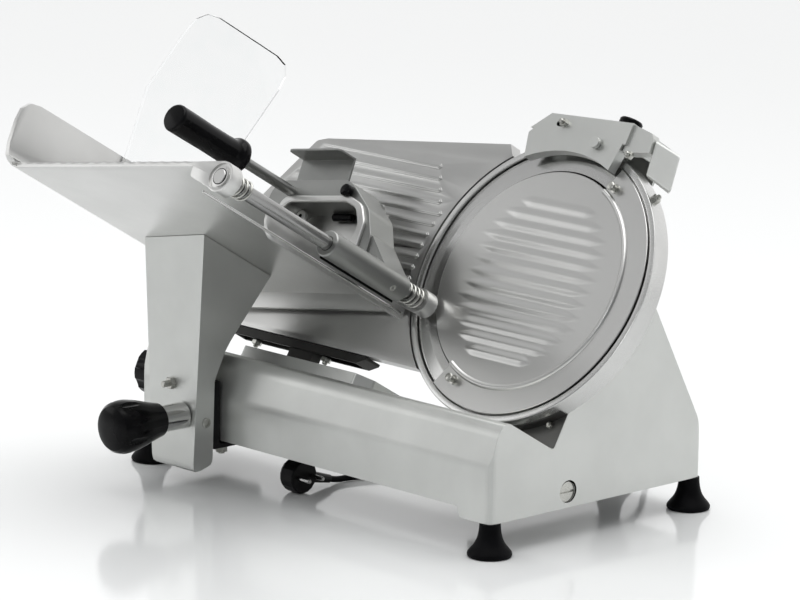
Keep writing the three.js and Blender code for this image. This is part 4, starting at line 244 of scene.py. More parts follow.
def bumped(tree, surface, height, strength, distance):
    node = add(tree, "ShaderNodeBump")
    node.inputs["Strength"].default_value = strength
    node.inputs["Distance"].default_value = distance
    tree.links.new(height, node.inputs["Height"])
    tree.links.new(node.outputs["Normal"], surface.inputs["Normal"])


def tinted(colour, share):
    return tuple(channel * share for channel in colour)


def metal(name, colour, rough, metalness, grain, stretch=EVEN, mottle=0.06, bump=0.04):
    """A metal whose fine grain is drawn out by stretch, with slow cloudy changes of tone."""
    material, tree, surface = shader(name)
    surface.inputs["Metallic"].default_value = metalness
    cloud = object_noise(tree, METAL_CLOUD, detail=3.0)
    tone = ramp(tree, cloud, tinted(colour, 1 - mottle), tinted(colour, 1 + mottle / 2))
    tree.links.new(tone, surface.inputs["Base Color"])
    fine = object_noise(tree, grain, stretch, detail=5.0)
    tree.links.new(spread(tree, fine, *rough), surface.inputs["Roughness"])
    bumped(tree, surface, fine, bump, METAL_BUMP)
    return material


def plastic(name, colour, rough, bump, grain=900.0, gloss=0.5):
    """A plastic, paint or rubber with a fine grain and cloudy changes of tone."""
    material, tree, surface = shader(name)
    grainy = object_noise(tree, grain, detail=3.0)
    cloud = object_noise(tree, PLASTIC_CLOUD)
    tone = ramp(tree, cloud, *(tinted(colour, share) for share in PLASTIC_SHARES))
    tree.links.new(tone, surface.inputs["Base Color"])
    tree.links.new(spread(tree, cloud, *rough), surface.inputs["Roughness"])
    surface.inputs["Specular IOR Level"].default_value = gloss
    bumped(tree, surface, grainy, bump, PLASTIC_BUMP)
    return material


def acrylic():
    material, tree, surface = shader("clear acrylic")
    surface.inputs["Transmission Weight"].default_value = 1.0
    surface.inputs["IOR"].default_value = CLEAR_BENDING
    haze = object_noise(tree, CLEAR_CLOUD)
    tree.links.new(spread(tree, haze, *CLEAR_ROUGHNESS), surface.inputs["Roughness"])
    tree.links.new(ramp(tree, haze, *CLEAR_TONES), surface.inputs["Base Color"])
    return material


def abrasive():
    material, tree, surface = shader("bonded abrasive")
    grit = object_noise(tree, GRIT_SCALE, detail=2.0)
    tree.links.new(ramp(tree, grit, *GRIT_TONES), surface.inputs["Base Color"])
    surface.inputs["Roughness"].default_value = GRIT_ROUGHNESS
    bumped(tree, surface, grit, GRIT_STRENGTH, GRIT_BUMP)
    return material


def make_materials(colours):
    """Every finish on the slicer, by a short name."""
    cast, sheet, steel, black = colours.cast, colours.sheet, colours.steel, colours.plastic
    return {
        "cast": metal("blasted cast aluminium", cast, (0.34, 0.46), 0.85, 1400, mottle=0.05, bump=0.1),
        "sheet": metal(
            "anodised sheet", sheet, (0.28, 0.33), 0.95, 2200, LENGTHWISE, mottle=0.03, bump=0.012),
        "tray": metal(
            "anodised tray", tinted(sheet, 1.22), (0.3, 0.38), 0.9, 2200, LENGTHWISE, mottle=0.05, bump=0.03),
        "cover": metal(
            "brushed cover", tinted(sheet, 1.1), (0.28, 0.33), 0.95, 2600, LENGTHWISE, mottle=0.02,
            bump=0.006),
        "slide": metal("satin pusher casting", tinted(cast, 0.42), (0.3, 0.4), 0.9, 1400, bump=0.06),
        "hood": metal("blasted hood", tinted(cast, 0.88), (0.34, 0.46), 0.85, 1400, mottle=0.05, bump=0.1),
        # Painted shade: the dark grey of the panel in the notch below the ring
        "shade": metal("shaded wall", SHADED, (0.35, 0.5), 0.8, 1200, mottle=0.2, bump=0.06),
        # Painted shade: the finish of every black mark that stands in for shadow
        "gap": plastic("shadow gap", SHADOW_BLACK, (0.6, 0.7), 0.05, gloss=0.02),
        "ring": metal("satin ring", steel, (0.2, 0.3), 0.95, 1800),
        "steel": metal("polished steel", steel, (0.12, 0.22), 1.0, 2400, bump=0.02),
        # Painted shade: the rod's steel darkened to stand in for the dark surroundings that it reflects
        "rod": metal("bright steel darkened as painted shade", tinted(steel, 0.52), (0.12, 0.22), 1.0, 2400, bump=0.02),
        "ground": metal(
            "ground blade steel", tinted(steel, 0.86), (0.2, 0.28), 1.0, 3000, ROUNDWISE, mottle=0.04,
            bump=0.02),
        "dark": metal("blackened steel", BLACKENED, (0.4, 0.55), 0.6, 1200, mottle=0.3, bump=0.08),
        "zinc": metal("zinc-plated steel", ZINC, (0.22, 0.36), 1.0, 1600, mottle=0.12, bump=0.05),
        "bronze": metal("sintered bronze", BRONZE, (0.35, 0.5), 0.9, 1500, mottle=0.2, bump=0.1),
        "paint": plastic("dark paint", DARK_PAINT, (0.4, 0.5), 0.08),
        "plastic": plastic("black plastic", black, (0.12, 0.2), 0.02, gloss=0.1),
        "matte": plastic("matte black plastic", tinted(black, 1.4), (0.3, 0.42), 0.12, gloss=0.16),
        "rubber": plastic("black rubber", tinted(black, 1.3), (0.4, 0.52), 0.16, grain=700, gloss=0.04),
        "green": plastic("green plastic", GREEN, (0.25, 0.35), 0.03),
        "red": plastic("red plastic", RED, (0.25, 0.35), 0.03),
        "acrylic": acrylic(),
        "abrasive": abrasive(),
    }


MATERIALS = {}


# Modelling tools

def deselect():
    if bpy.context.object and bpy.context.object.mode != "OBJECT":
        bpy.ops.object.mode_set(mode="OBJECT")
    bpy.ops.object.select_all(action="DESELECT")


def select_only(item):
    deselect()
    item.select_set(True)
    bpy.context.view_layer.objects.active = item


def start_point(name):
    """A mesh of one vertex in edit mode, from which an outline is drawn."""
    deselect()
    bpy.ops.mesh.primitive_plane_add(size=MM)
    item = bpy.context.active_object
    item.name = item.data.name = name
    bpy.ops.object.mode_set(mode="EDIT")
    bpy.ops.mesh.select_mode(type="VERT")
    bpy.ops.mesh.select_all(action="SELECT")
    bpy.ops.mesh.merge(type="CENTER")
    return item


def draw_line(points):
    """Extrudes the vertex along a list of points in millimetres."""
    spots = [metres(point) for point in points]
    bpy.ops.transform.translate(value=spots[0])
    for before, after in zip(spots, spots[1:]):
        bpy.ops.mesh.extrude_region_move(TRANSFORM_OT_translate={"value": after - before})


def mend():
    """Merges doubles, turns the faces outwards and leaves edit mode."""
    bpy.ops.mesh.select_all(action="SELECT")
    bpy.ops.mesh.remove_doubles(threshold=NEW_MERGE)
    bpy.ops.mesh.normals_make_consistent(inside=False)
    bpy.ops.object.mode_set(mode="OBJECT")


def place(item, matrix):
    """Puts a piece in the row frame and applies its place to its mesh."""
    item.matrix_world = matrix
    select_only(item)
    bpy.ops.object.transform_apply(location=True, rotation=True, scale=True)


def facing(axis):
    """The turn that lays a piece's line along an axis, given by its name or as a direction."""
    if isinstance(axis, str):
        return ALONG[axis]
    return Vector(axis).to_track_quat("Z", "Y").to_matrix().to_4x4()


def spun(name, profile, axis, centre, where, steps, closed=False, arc=FULL_TURN):
    """A profile of (radius, along) pairs spun round a line through the centre, over an arc in degrees."""
    start, end = (math.radians(angle) for angle in arc)
    item = start_point(name)
    line = [(radius, 0, along) for radius, along in profile]
    if closed:
        line.append(line[0])
    draw_line(line)
    bpy.ops.mesh.select_all(action="SELECT")
    bpy.ops.mesh.spin(steps=steps, angle=end - start, center=(0, 0, 0), axis=(0, 0, 1))
    mend()
    if arc != FULL_TURN:
        bpy.ops.object.mode_set(mode="EDIT")
        bpy.ops.mesh.select_all(action="DESELECT")
        bpy.ops.mesh.select_mode(type="EDGE")
        bpy.ops.mesh.select_non_manifold()
        bpy.ops.mesh.fill_holes(sides=0)
        mend()
    spot = FRAMES[where] @ Matrix.Translation(metres(centre))
    place(item, spot @ facing(axis) @ Matrix.Rotation(-start, 4, "Z"))
    return item


def prism(name, outline, axis, low, high, where):
    """A flat outline pushed out along an axis; it lies in YZ, XZ or XY for x, y and z."""
    item = start_point(name)
    corners = {
        "x": lambda u, v: (low, u, v),
        "y": lambda u, v: (u, low, v),
        "z": lambda u, v: (u, v, low),
    }[axis]
    draw_line([corners(u, v) for u, v in outline])
    bpy.ops.mesh.select_all(action="SELECT")
    bpy.ops.mesh.edge_face_add()
    push = {"x": (high - low, 0, 0), "y": (0, high - low, 0), "z": (0, 0, high - low)}[axis]
    bpy.ops.mesh.extrude_region_move(TRANSFORM_OT_translate={"value": metres(push)})
    mend()
    place(item, FRAMES[where])
    return item


def modified(item, kind, **values):
    select_only(item)
    modifier = item.modifiers.new(kind.title(), kind)
    for key, value in values.items():
        setattr(modifier, key, value)
    bpy.ops.object.modifier_apply(modifier=modifier.name)
    return item


def edged(item, width, angle=30, segments=3):
    """Rounds the sharp edges of a piece."""
    return modified(
        item, "BEVEL", width=width, segments=segments, limit_method="ANGLE", angle_limit=math.radians(angle),
        use_clamp_overlap=True, miter_outer="MITER_ARC")


def cut(item, tool, operation="DIFFERENCE"):
    modified(item, "BOOLEAN", operation=operation, object=tool, solver="EXACT")
    bpy.data.objects.remove(tool)
    return item


def joined(name, items):
    deselect()
    for item in items:
        item.select_set(True)
    bpy.context.view_layer.objects.active = items[0]
    bpy.ops.object.join()
    whole = bpy.context.view_layer.objects.active
    whole.name = whole.data.name = name
    return whole


def finished(item, body, finish, *nodes, angle=35, flat_faces=True):
    """Smooths a piece, gives it its finish and hangs it on its body."""
    select_only(item)
    bpy.ops.object.shade_smooth_by_angle(angle=math.radians(angle))
    if flat_faces:
        modified(item, "WEIGHTED_NORMAL", weight=80, keep_sharp=True)
    item.data.materials.clear()
    item.data.materials.append(MATERIALS[finish])
    if nodes:
        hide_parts(*nodes)
    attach(item, body)
    return item


def refined(node, edge, segments=3):
    """A copy of a CAD solid, its facets merged into whole faces and its edges rounded."""
    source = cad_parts[node]
    item = bpy.data.objects.new(node + "_finished", source.data.copy())
    bpy.context.scene.collection.objects.link(item)
    select_only(item)
    bpy.ops.object.mode_set(mode="EDIT")
    bpy.ops.mesh.select_all(action="SELECT")
    bpy.ops.mesh.remove_doubles(threshold=COPY_MERGE)
    bpy.ops.mesh.dissolve_limited(angle_limit=FACET_ANGLE)
    bpy.ops.object.mode_set(mode="OBJECT")
    if edge:
        edged(item, edge, segments=segments)
    return item


def dressed(node, body, finish, edge=None, segments=3, **looks):
    """A CAD solid with rounded edges and a finish, hung on its body."""
    if edge is None:
        edge = EDGES[node] * MM
    return finished(refined(node, edge, segments), body, finish, node, **looks)


def carried(node, finish):
    """A CAD solid that stays as it is, with a finish of its own."""
    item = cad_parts[node]
    item.data.materials.clear()
    item.data.materials.append(MATERIALS[finish])


def box_centre(node, where):
    """The centre of a CAD solid's box, in millimetres of a frame."""
    low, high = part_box(node)
    return FRAMES[where].inverted() @ ((Vector(low) + Vector(high)) / 2) / MM


def oblong(left, right, low, high):
    return [(left, low), (right, low), (right, high), (left, high)]


def disc(name, radius, start, end, axis, centre, where, steps):
    return spun(name, oblong(0, radius, start, end), axis, centre, where, steps)


def rounded_rod(name, radius, start, end, axis, centre, where, steps, chamfer=0.8):
    return spun(name, [
        (0, start), (radius - chamfer, start), (radius, start + chamfer), (radius, end - chamfer),
        (radius - chamfer, end), (0, end),
    ], axis, centre, where, steps)


def hex_head(name, sizes, axis, centre, where):
    """A bolt head or nut, its corners turned off, with the thread's end standing out of it."""
    across, height, radius, reach = sizes
    edge = across / math.sqrt(3)
    head = spun(name, [(edge * out, height * up) for out, up in HEAD_SHARES], axis, centre, where, HEXAGON)
    tip = radius * THREAD_TIP_SHARE
    thread = spun(name + "_end", [
        (0, 0), (radius, 0), (radius, reach - tip), (radius - tip, reach), (0, reach),
    ], axis, centre, where, TINY_STEPS)
    return joined(name, [head, thread])


def rounded_outline(corners, steps=6):
    """Corners given as (x, z, radius), each turned into an arc."""
    line = []
    for i, (x, z, radius) in enumerate(corners):
        here = Vector((x, z))
        before = (Vector(corners[i - 1][:2]) - here).normalized()
        after = (Vector(corners[(i + 1) % len(corners)][:2]) - here).normalized()
        if not radius:
            line.append((x, z))
            continue
        half = before.angle(after) / 2
        centre = here + (before + after).normalized() * (radius / math.sin(half))
        start = here + before * (radius / math.tan(half)) - centre
        end = here + after * (radius / math.tan(half)) - centre
        for k in range(steps + 1):
            spoke = start.slerp(end, k / steps).normalized() * radius
            line.append(tuple(centre + spoke))
    return line


# Camera

class SLICER_OT_camera(bpy.types.Operator):
    """Adds the camera at the photograph's place"""
    bl_idname = "slicer.camera"
    bl_label = "Camera"

    def execute(self, context):
        across = Vector((math.cos(CAMERA_AZIMUTH), math.sin(CAMERA_AZIMUTH), 0))
        ahead = Vector((
            -math.sin(CAMERA_AZIMUTH) * math.cos(CAMERA_ELEVATION),
            math.cos(CAMERA_AZIMUTH) * math.cos(CAMERA_ELEVATION), -math.sin(CAMERA_ELEVATION)))
        above = across.cross(ahead)
        right = math.cos(CAMERA_ROLL) * across + math.sin(CAMERA_ROLL) * above
        up = -math.sin(CAMERA_ROLL) * across + math.cos(CAMERA_ROLL) * above
        deselect()
        bpy.ops.object.camera_add()
        camera = context.active_object
        turn = Matrix((right, up, -ahead)).transposed().to_4x4()
        camera.matrix_world = BASE_FRAME @ Matrix.Translation(metres(CAMERA_PLACE)) @ turn
        camera.data.lens = CAMERA_LENS
        camera.data.sensor_width = SENSOR_WIDTH
        camera.data.clip_end = CAMERA_REACH
        context.scene.camera = camera
        return {"FINISHED"}


# Mains cord: its centre line out of the strain relief, in a flat coil of two layers, and to the plug

RELIEF_ROUTE = [
    (-46, 348.6, 52), (-46, 355.6, 52), (-46, 368.5, 48.9), (-46, 378.5, 40.1), (-46, 383.4, 27.8),
    (-46, 388.2, 15.5), (-46, 398.2, 6.8), (-46, 411, 3.6),
]
PLUG_ROUTE = [
    (-142, 411, 11.3), (-142.5, 397, 10.6), (-144, 379, 8.5), (-147, 359, 5.8), (-151.5, 338, 4.1),
    (-158, 312, 3.6), (-167, 278, 3.6), (-177.5, 243, 3.6), (-189.5, 208, 3.6), (-202, 176, 3.6),
    (-214.5, 147, 3.6), (-225, 122, 3.6), (-229.3, 106, 3.7), (-230, 96.5, 4), (-230, 89.5, 5.1),
    (-230, 83, 6.7),
]
CORD_RADIUS = 3.5
CORD_ROUNDNESS = 5
COIL_RADIUS = 48.0
COIL_PITCH = 7.7
COIL_LIFT = 7.7
COIL_TURNS = 2
COIL_STEPS = 48
COIL_DIP = 2.4
COIL_ACROSS = -94.0
COIL_DEPTH = 425.0
COIL_FLOOR = 3.6
PIN_RADIUS = 2.4
PIN_CHAMFER = 0.7
PIN_ENDS = (-218.1, -198.8)
PIN_DEPTHS = (26, 45)
PIN_HEIGHT = 18.5


def coil_line():
    """Centre line of the coil: in on the floor, up in half a turn, and out on top."""
    inner = COIL_RADIUS - COIL_PITCH * COIL_TURNS
    layer = COIL_TURNS * COIL_STEPS
    climb = COIL_STEPS // 2
    points = []
    for i in range(2 * layer + climb + 1):
        angle = 2 * math.pi * i / COIL_STEPS
        share = min(max((i - layer) / climb, 0), 1)
        if i <= layer + climb:
            radius = COIL_RADIUS - COIL_PITCH * min(i, layer) / COIL_STEPS
        else:
            radius = inner + COIL_PITCH * (i - layer - climb) / COIL_STEPS
        radius -= COIL_DIP * math.sin(math.pi * share)
        height = COIL_FLOOR + COIL_LIFT * share * share * (3 - 2 * share)
        points.append((COIL_ACROSS + radius * math.cos(angle), COIL_DEPTH + radius * math.sin(angle), height))
    return points


def smooth_line(points, steps=6):
    """Points on a curve through the given ones."""
    spots = [Vector(point) for point in points]
    last = len(spots) - 1
    line = []
    for i in range(last):
        before, start, end, after = spots[max(i - 1, 0)], spots[i], spots[i + 1], spots[min(i + 2, last)]
        for k in range(steps):
            t = k / steps
            line.append(0.5 * (
                2 * start + (end - before) * t + (2 * before - 5 * start + 4 * end - after) * t * t
                + (3 * start - before - 3 * end + after) * t ** 3))
    return line + [spots[-1]]


class SLICER_OT_cord(bpy.types.Operator):
    """Lays the mains cord from the strain relief through its coil to the plug, and adds the plug's pins"""
    bl_idname = "slicer.cord"
    bl_label = "Mains cord"

    def execute(self, context):
        line = smooth_line(RELIEF_ROUTE) + [Vector(p) for p in coil_line()] + smooth_line(PLUG_ROUTE)
        path = [BASE_FRAME @ (point * MM) for point in line]
        data = bpy.data.curves.new("mains_cord", "CURVE")
        data.dimensions = "3D"
        data.bevel_depth = CORD_RADIUS * MM
        data.bevel_resolution = CORD_ROUNDNESS
        data.use_fill_caps = True
        spline = data.splines.new("POLY")
        spline.points.add(len(path) - 1)
        for knot, point in zip(spline.points, path):
            knot.co = (*point, 1)
        cord = bpy.data.objects.new("mains_cord", data)
        context.scene.collection.objects.link(cord)
        data.materials.append(MATERIALS["rubber"])
        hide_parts("cord_from_base", "cord_coil", "cord_to_plug")
        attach(cord, "base")
        carried("mains_plug", "matte")
        carried("strain_relief", "rubber")
        for number, depth in enumerate(PIN_DEPTHS, 1):
            pin = rounded_rod(
                "plug_pin_%d" % number, PIN_RADIUS, *PIN_ENDS, "x", (0, depth, PIN_HEIGHT), "base",
                SLIM_STEPS, PIN_CHAMFER)
            finished(pin, "base", "steel")
        return {"FINISHED"}


# Base: the notch below the ring, painted as shade with a dark panel and a dark line, its screw, and a painted
# shade crescent round the plug

# Painted shade in the notch below the ring: a dark grey panel on the base's wall, and a dark strip on the
# ring
VALLEY_SHADE_OUTLINE = [(38, -148), (99.7, -112), (99.7, -166), (70, -168)]
VALLEY_SHADE_DEPTHS = (24.2, 24.9)
VALLEY_SHADOW = [(159.1, 13), (159.9, 13.6), (160, 24.6), (159.1, 24.8)]
VALLEY_ARC = (-78, -51.6)
VALLEY_SCREW = (84.5, 24, -140.5)
PLUG_FACE = 100.0
PLUG_RADIUS = 11
PLUG_OVERRUN = 1
# Painted shade: a black ring round the access plug, shifted so that it shows as a crescent on one side
PLUG_SHADE_RADIUS = 11.9
PLUG_SHADE_DEPTHS = (0.02, 0.14)
PLUG_SHADE_SHIFT = (1.3, 0.3)


class SLICER_OT_base(bpy.types.Operator):
    """Finishes the base casting with its plug, cover and fittings"""
    bl_idname = "slicer.base"
    bl_label = "Base"

    def execute(self, context):
        sizes = context.scene.slicer_sizes
        dressed("base_housing", "base", "cast", sizes.cast_edge)
        dressed("access_plug", "base", "zinc")
        dressed("bottom_cover", "base", "steel")
        for node in ("slide_rod", "steady_rod", "bearing_front", "bearing_rear", "gauge_guide"):
            carried(node, "steel")
        for node in ("motor", "motor_bracket"):
            carried(node, "paint")
        carried("bearing_housing", "cast")
        carried("drive_belt", "rubber")
        # Painted shade: a dark grey panel over the base's wall in the notch below the ring
        valley = prism("valley_shade_panel", VALLEY_SHADE_OUTLINE, "y", *VALLEY_SHADE_DEPTHS, "knife")
        finished(valley, "base", "shade")
        # Painted shadow: a dark strip in the blackened steel finish on the ring's outer side, above the notch
        shadow = spun(
            "valley_shadow", VALLEY_SHADOW, "y", BLADE_LINE, "knife", sizes.round_steps, closed=True,
            arc=VALLEY_ARC)
        finished(shadow, "base", "dark")
        screw = hex_head("valley_screw", HEADS["valley_screw"], "-y", VALLEY_SCREW, "knife")
        finished(screw, "base", "zinc")
        # Painted shade round the access plug: a black ring off the plug's centre, with the plug's face cut
        # out of it
        spot = box_centre("access_plug", "base")
        across, up = PLUG_SHADE_SHIFT
        shade_ring = disc(
            "access_plug_shade", PLUG_SHADE_RADIUS, *PLUG_SHADE_DEPTHS, "x", (PLUG_FACE, spot.y + across, spot.z + up),
            "base", sizes.small_steps)
        plug = disc(
            "plug_face", PLUG_RADIUS, -PLUG_OVERRUN, PLUG_OVERRUN, "x", (PLUG_FACE, spot.y, spot.z), "base",
            sizes.small_steps)
        finished(cut(shade_ring, plug), "base", "gap")
        return {"FINISHED"}


# Feet

FOOT_PROFILE = [
    (0, 0), (21.5, 0), (22.8, 0.8), (23.3, 2.2), (23.2, 4), (22.3, 5.6), (20.2, 8.2), (17.4, 11.5),
    (15.1, 15), (13.4, 19), (12.2, 23.5), (11.4, 28.5), (11, 34.6), (4, 34.7), (4, 48.6), (0, 48.6),
]


class SLICER_OT_feet(bpy.types.Operator):
    """Turns the four rubber feet"""
    bl_idname = "slicer.feet"
    bl_label = "Feet"

    def execute(self, context):
        steps = context.scene.slicer_sizes.small_steps
        for node in ("foot_front_left", "foot_front_right", "foot_rear_left", "foot_rear_right"):
            spot = box_centre(node, "base")
            foot = spun(node + "_finished", FOOT_PROFILE, "z", (spot.x, spot.y, 0), "base", steps)
            finished(foot, "base", "rubber", node)
        return {"FINISHED"}


# Guard ring: its section with the web behind the blade, the gap for the stones, and a nut on its rim

RING_SECTION = [
    (46, 19.4), (46.4, 19), (151.2, 19), (151.6, 18.6), (151.6, 2.2), (152.1, 1.3), (153, 1), (157.2, 1),
    (158.5, 1.6), (159, 3), (159, 24.2), (158.5, 24.7), (46.4, 24.7), (46, 24.3),
]
STONE_GAP_RADII = (112, 170)
STONE_GAP_ANGLES = range(67, 112, 4)
STONE_GAP_DEPTHS = (-10, 35)
RING_NUT_DIRECTION = (0.689, 0, 0.725)
RING_NUT_RADIUS = 158.8
RING_NUT_DEPTH = 13


class SLICER_OT_guard(bpy.types.Operator):
    """Spins the ring round the blade and cuts the gap for the sharpener's stones"""
    bl_idname = "slicer.guard"
    bl_label = "Guard ring"

    def execute(self, context):
        steps = context.scene.slicer_sizes.round_steps
        ring = spun("guard_ring_finished", RING_SECTION, "y", BLADE_LINE, "knife", steps, closed=True)
        inner, outer = STONE_GAP_RADII
        around = [(math.cos(math.radians(a)), math.sin(math.radians(a))) for a in STONE_GAP_ANGLES]
        outline = [(inner * c, inner * s) for c, s in around]
        outline += [(outer * c, outer * s) for c, s in reversed(around)]
        gap = prism("stone_gap", outline, "y", *STONE_GAP_DEPTHS, "knife")
        finished(cut(ring, gap), "base", "ring", "guard_ring")
        outward = Vector(RING_NUT_DIRECTION)
        spot = outward * RING_NUT_RADIUS + Vector((0, RING_NUT_DEPTH, 0))
        finished(hex_head("ring_nut", HEADS["ring_nut"], outward, spot, "knife"), "base", "zinc")
        return {"FINISHED"}


# Blade

BLADE_SECTION = [
    (20, 2.2), (20.2, 2), (134, 2), (136, 2.15), (147.5, 4.1), (149.9, 4.75), (150, 4.9), (149.9, 5),
    (20.2, 5), (20, 4.8),
]


class SLICER_OT_blade(bpy.types.Operator):
    """Spins the blade with its two ground bevels, and finishes its spindle and pulleys"""
    bl_idname = "slicer.blade"
    bl_label = "Blade"

    def execute(self, context):
        steps = context.scene.slicer_sizes.round_steps
        blade = spun("blade_finished", BLADE_SECTION, "y", BLADE_LINE, "knife", steps, closed=True)
        finished(blade, "cutter", "ground", "blade", angle=12)
        carried("blade_spindle", "steel")
        carried("driven_pulley", "cast")
        carried("motor_pulley", "dark")
        return {"FINISHED"}


# Blade cover: disc, a painted shadow line at its rim, outer segment with its bead, pressed ribs and two studs

COVER_FACE = -2
COVER_PROFILE = [
    (0, COVER_FACE), (121.6, COVER_FACE), (122.5, -1.7), (123, -1), (123, 0.6), (122.6, 1), (0, 1),
]
# Painted shadow: a black ring in the gap at the cover's rim
COVER_GAP_SHADOW = (122.4, 124.9, 1.1, 1.6)
SEGMENT_ARC = (-119, 65)
SEGMENT_SECTION = [
    (123.4, 0.6), (123.4, -0.6), (123.9, -1), (150, -1), (150.5, -0.6), (150.5, 0.6), (150, 1), (123.9, 1),
]
BEAD_SECTION = [
    (118.4, -1.9), (119.2, -2.4), (120.6, -3.3), (122, -3.6), (123.4, -3.2), (124.4, -2.1), (124.9, -0.8),
    (118.6, -0.8),
]
RIBS_EACH_WAY = 6
RIB_PITCH = 14.2
RIB_SHIFT = -2
RIB_FIELD = 100
RIB_LIMIT = 90
RIB_GRID = (44, 14)
RIB_MIDDLE_SHARE = 0.86
RIB_LOSS_SHARE = 0.05
RIB_END_SHARE = 0.3
RIB_TIP_WIDTH_SHARE = 0.45
RIB_ROOT = 0.4
RIB_LIFT = 0.02
STUD_PROFILE = [
    (0, 0), (5.2, 0), (5.2, 1.4), (3.2, 1.8), (3.2, 6.2), (4.4, 6.4), (4.8, 7), (4.6, 9.2), (3.6, 9.9),
    (0, 10.1),
]
STUD_RADIUS = 132
STUD_FACE = -1
STUD_ANGLES = (60.5, -110.5)


def pressed_rib(name, half, width, height, centre):
    """A pressed rib that swells out of the sheet along X and dies away at its sides and ends."""
    deselect()
    bpy.ops.mesh.primitive_grid_add(x_subdivisions=RIB_GRID[0], y_subdivisions=RIB_GRID[1], size=2)
    item = bpy.context.active_object
    item.name = item.data.name = name
    bpy.ops.object.mode_set(mode="EDIT")
    bpy.ops.mesh.select_all(action="DESELECT")
    bpy.ops.mesh.select_mode(type="EDGE")
    bpy.ops.mesh.select_non_manifold()
    bpy.ops.mesh.extrude_region_move(TRANSFORM_OT_translate={"value": (0, 0, -1)})
    bpy.ops.mesh.fill_holes(sides=0)
    bpy.ops.object.mode_set(mode="OBJECT")
    for vertex in item.data.vertices:
        x, y, z = vertex.co
        across = math.cos(math.pi * y / 2) ** 2
        ends = min((1 - abs(x)) / RIB_END_SHARE, 1)
        along = ends * ends * (3 - 2 * ends)
        out = height * across * along if z > -0.5 else -RIB_ROOT
        side = y * width / 2 * (RIB_TIP_WIDTH_SHARE + (1 - RIB_TIP_WIDTH_SHARE) * along)
        vertex.co = metres((half * x, -(out + RIB_LIFT), side))
    select_only(item)
    bpy.ops.object.mode_set(mode="EDIT")
    mend()
    place(item, FRAMES["knife"] @ Matrix.Translation(metres(centre)))
    return item


class SLICER_OT_cover(bpy.types.Operator):
    """Makes the blade cover: disc with pressed ribs and raised rim, outer segment and studs"""
    bl_idname = "slicer.cover"
    bl_label = "Blade cover"

    def execute(self, context):
        sizes = context.scene.slicer_sizes
        plate = spun("cover_disc", COVER_PROFILE, "y", BLADE_LINE, "knife", sizes.round_steps)
        finished(plate, "base", "cover", "blade_cover")
        # Painted shadow: a black ring in the gap between the cover's rim and the blade
        gap = spun(
            "cover_gap_shadow", oblong(*COVER_GAP_SHADOW), "y", BLADE_LINE, "knife", sizes.round_steps, closed=True)
        finished(gap, "base", "gap")
        for name, section in (("cover_segment", SEGMENT_SECTION), ("cover_bead", BEAD_SECTION)):
            part = spun(
                name, section, "y", BLADE_LINE, "knife", sizes.round_steps, closed=True, arc=SEGMENT_ARC)
            finished(part, "base", "cover")
        ribs = []
        for i in range(-RIBS_EACH_WAY, RIBS_EACH_WAY + 1):
            up = i * RIB_PITCH + RIB_SHIFT
            half = min(math.sqrt(RIB_FIELD ** 2 - up ** 2), RIB_LIMIT)
            height = sizes.rib_height / MM * (RIB_MIDDLE_SHARE - RIB_LOSS_SHARE * i)
            ribs.append(pressed_rib("cover_rib", half, RIB_PITCH, height, (0, COVER_FACE, up)))
        finished(joined("cover_ribs", ribs), "base", "cover", angle=60, flat_faces=False)
        for number, degrees in enumerate(STUD_ANGLES, 1):
            angle = math.radians(degrees)
            spot = (STUD_RADIUS * math.cos(angle), STUD_FACE, STUD_RADIUS * math.sin(angle))
            stud = spun("cover_stud_%d" % number, STUD_PROFILE, "-y", spot, "knife", STUD_STEPS)
            finished(stud, "base", "zinc")
        dressed("cover_tie_rod", "tie_rod", "plastic")
        return {"FINISHED"}


# Gauge plate

CARRIER_BOLTS = ((-362, 12, -131), (-250, 12, -131))


class SLICER_OT_gauge(bpy.types.Operator):
    """Finishes the gauge plate, its carrier and its slide, and adds the carrier's bolts"""
    bl_idname = "slicer.gauge"
    bl_label = "Gauge plate"

    def execute(self, context):
        sheet_edge = context.scene.slicer_sizes.sheet_edge
        dressed("gauge_plate", "gauge", "sheet", sheet_edge, angle=20, flat_faces=False)
        dressed("gauge_carrier", "gauge", "dark")
        dressed("gauge_slide", "gauge", "cast")
        for number, spot in enumerate(CARRIER_BOLTS, 1):
            bolt = hex_head("carrier_bolt_%d" % number, HEADS["carrier_bolt"], "-z", spot, "knife")
            finished(bolt, "gauge", "zinc")
        return {"FINISHED"}


class SLICER_OT_thickness(bpy.types.Operator):
    """Finishes the thickness knob and its scroll"""
    bl_idname = "slicer.thickness"
    bl_label = "Thickness knob"

    def execute(self, context):
        dressed("thickness_knob", "thickness", "plastic", segments=4)
        carried("thickness_scroll", "cast")
        return {"FINISHED"}


class SLICER_OT_slide(bpy.types.Operator):
    """Finishes the bracket, bolt and runner under the carriage"""
    bl_idname = "slicer.slide"
    bl_label = "Carriage slide"

    def execute(self, context):
        dressed("slide_bracket", "carriage", "matte")
        dressed("bracket_bolt", "carriage", "zinc")
        dressed("runner_block", "carriage", "cast")
        carried("slide_bush", "bronze")
        return {"FINISHED"}


# Arm: the lock's steel sleeve and fluted knob, from the face that the sleeve seats on; stud and side screw

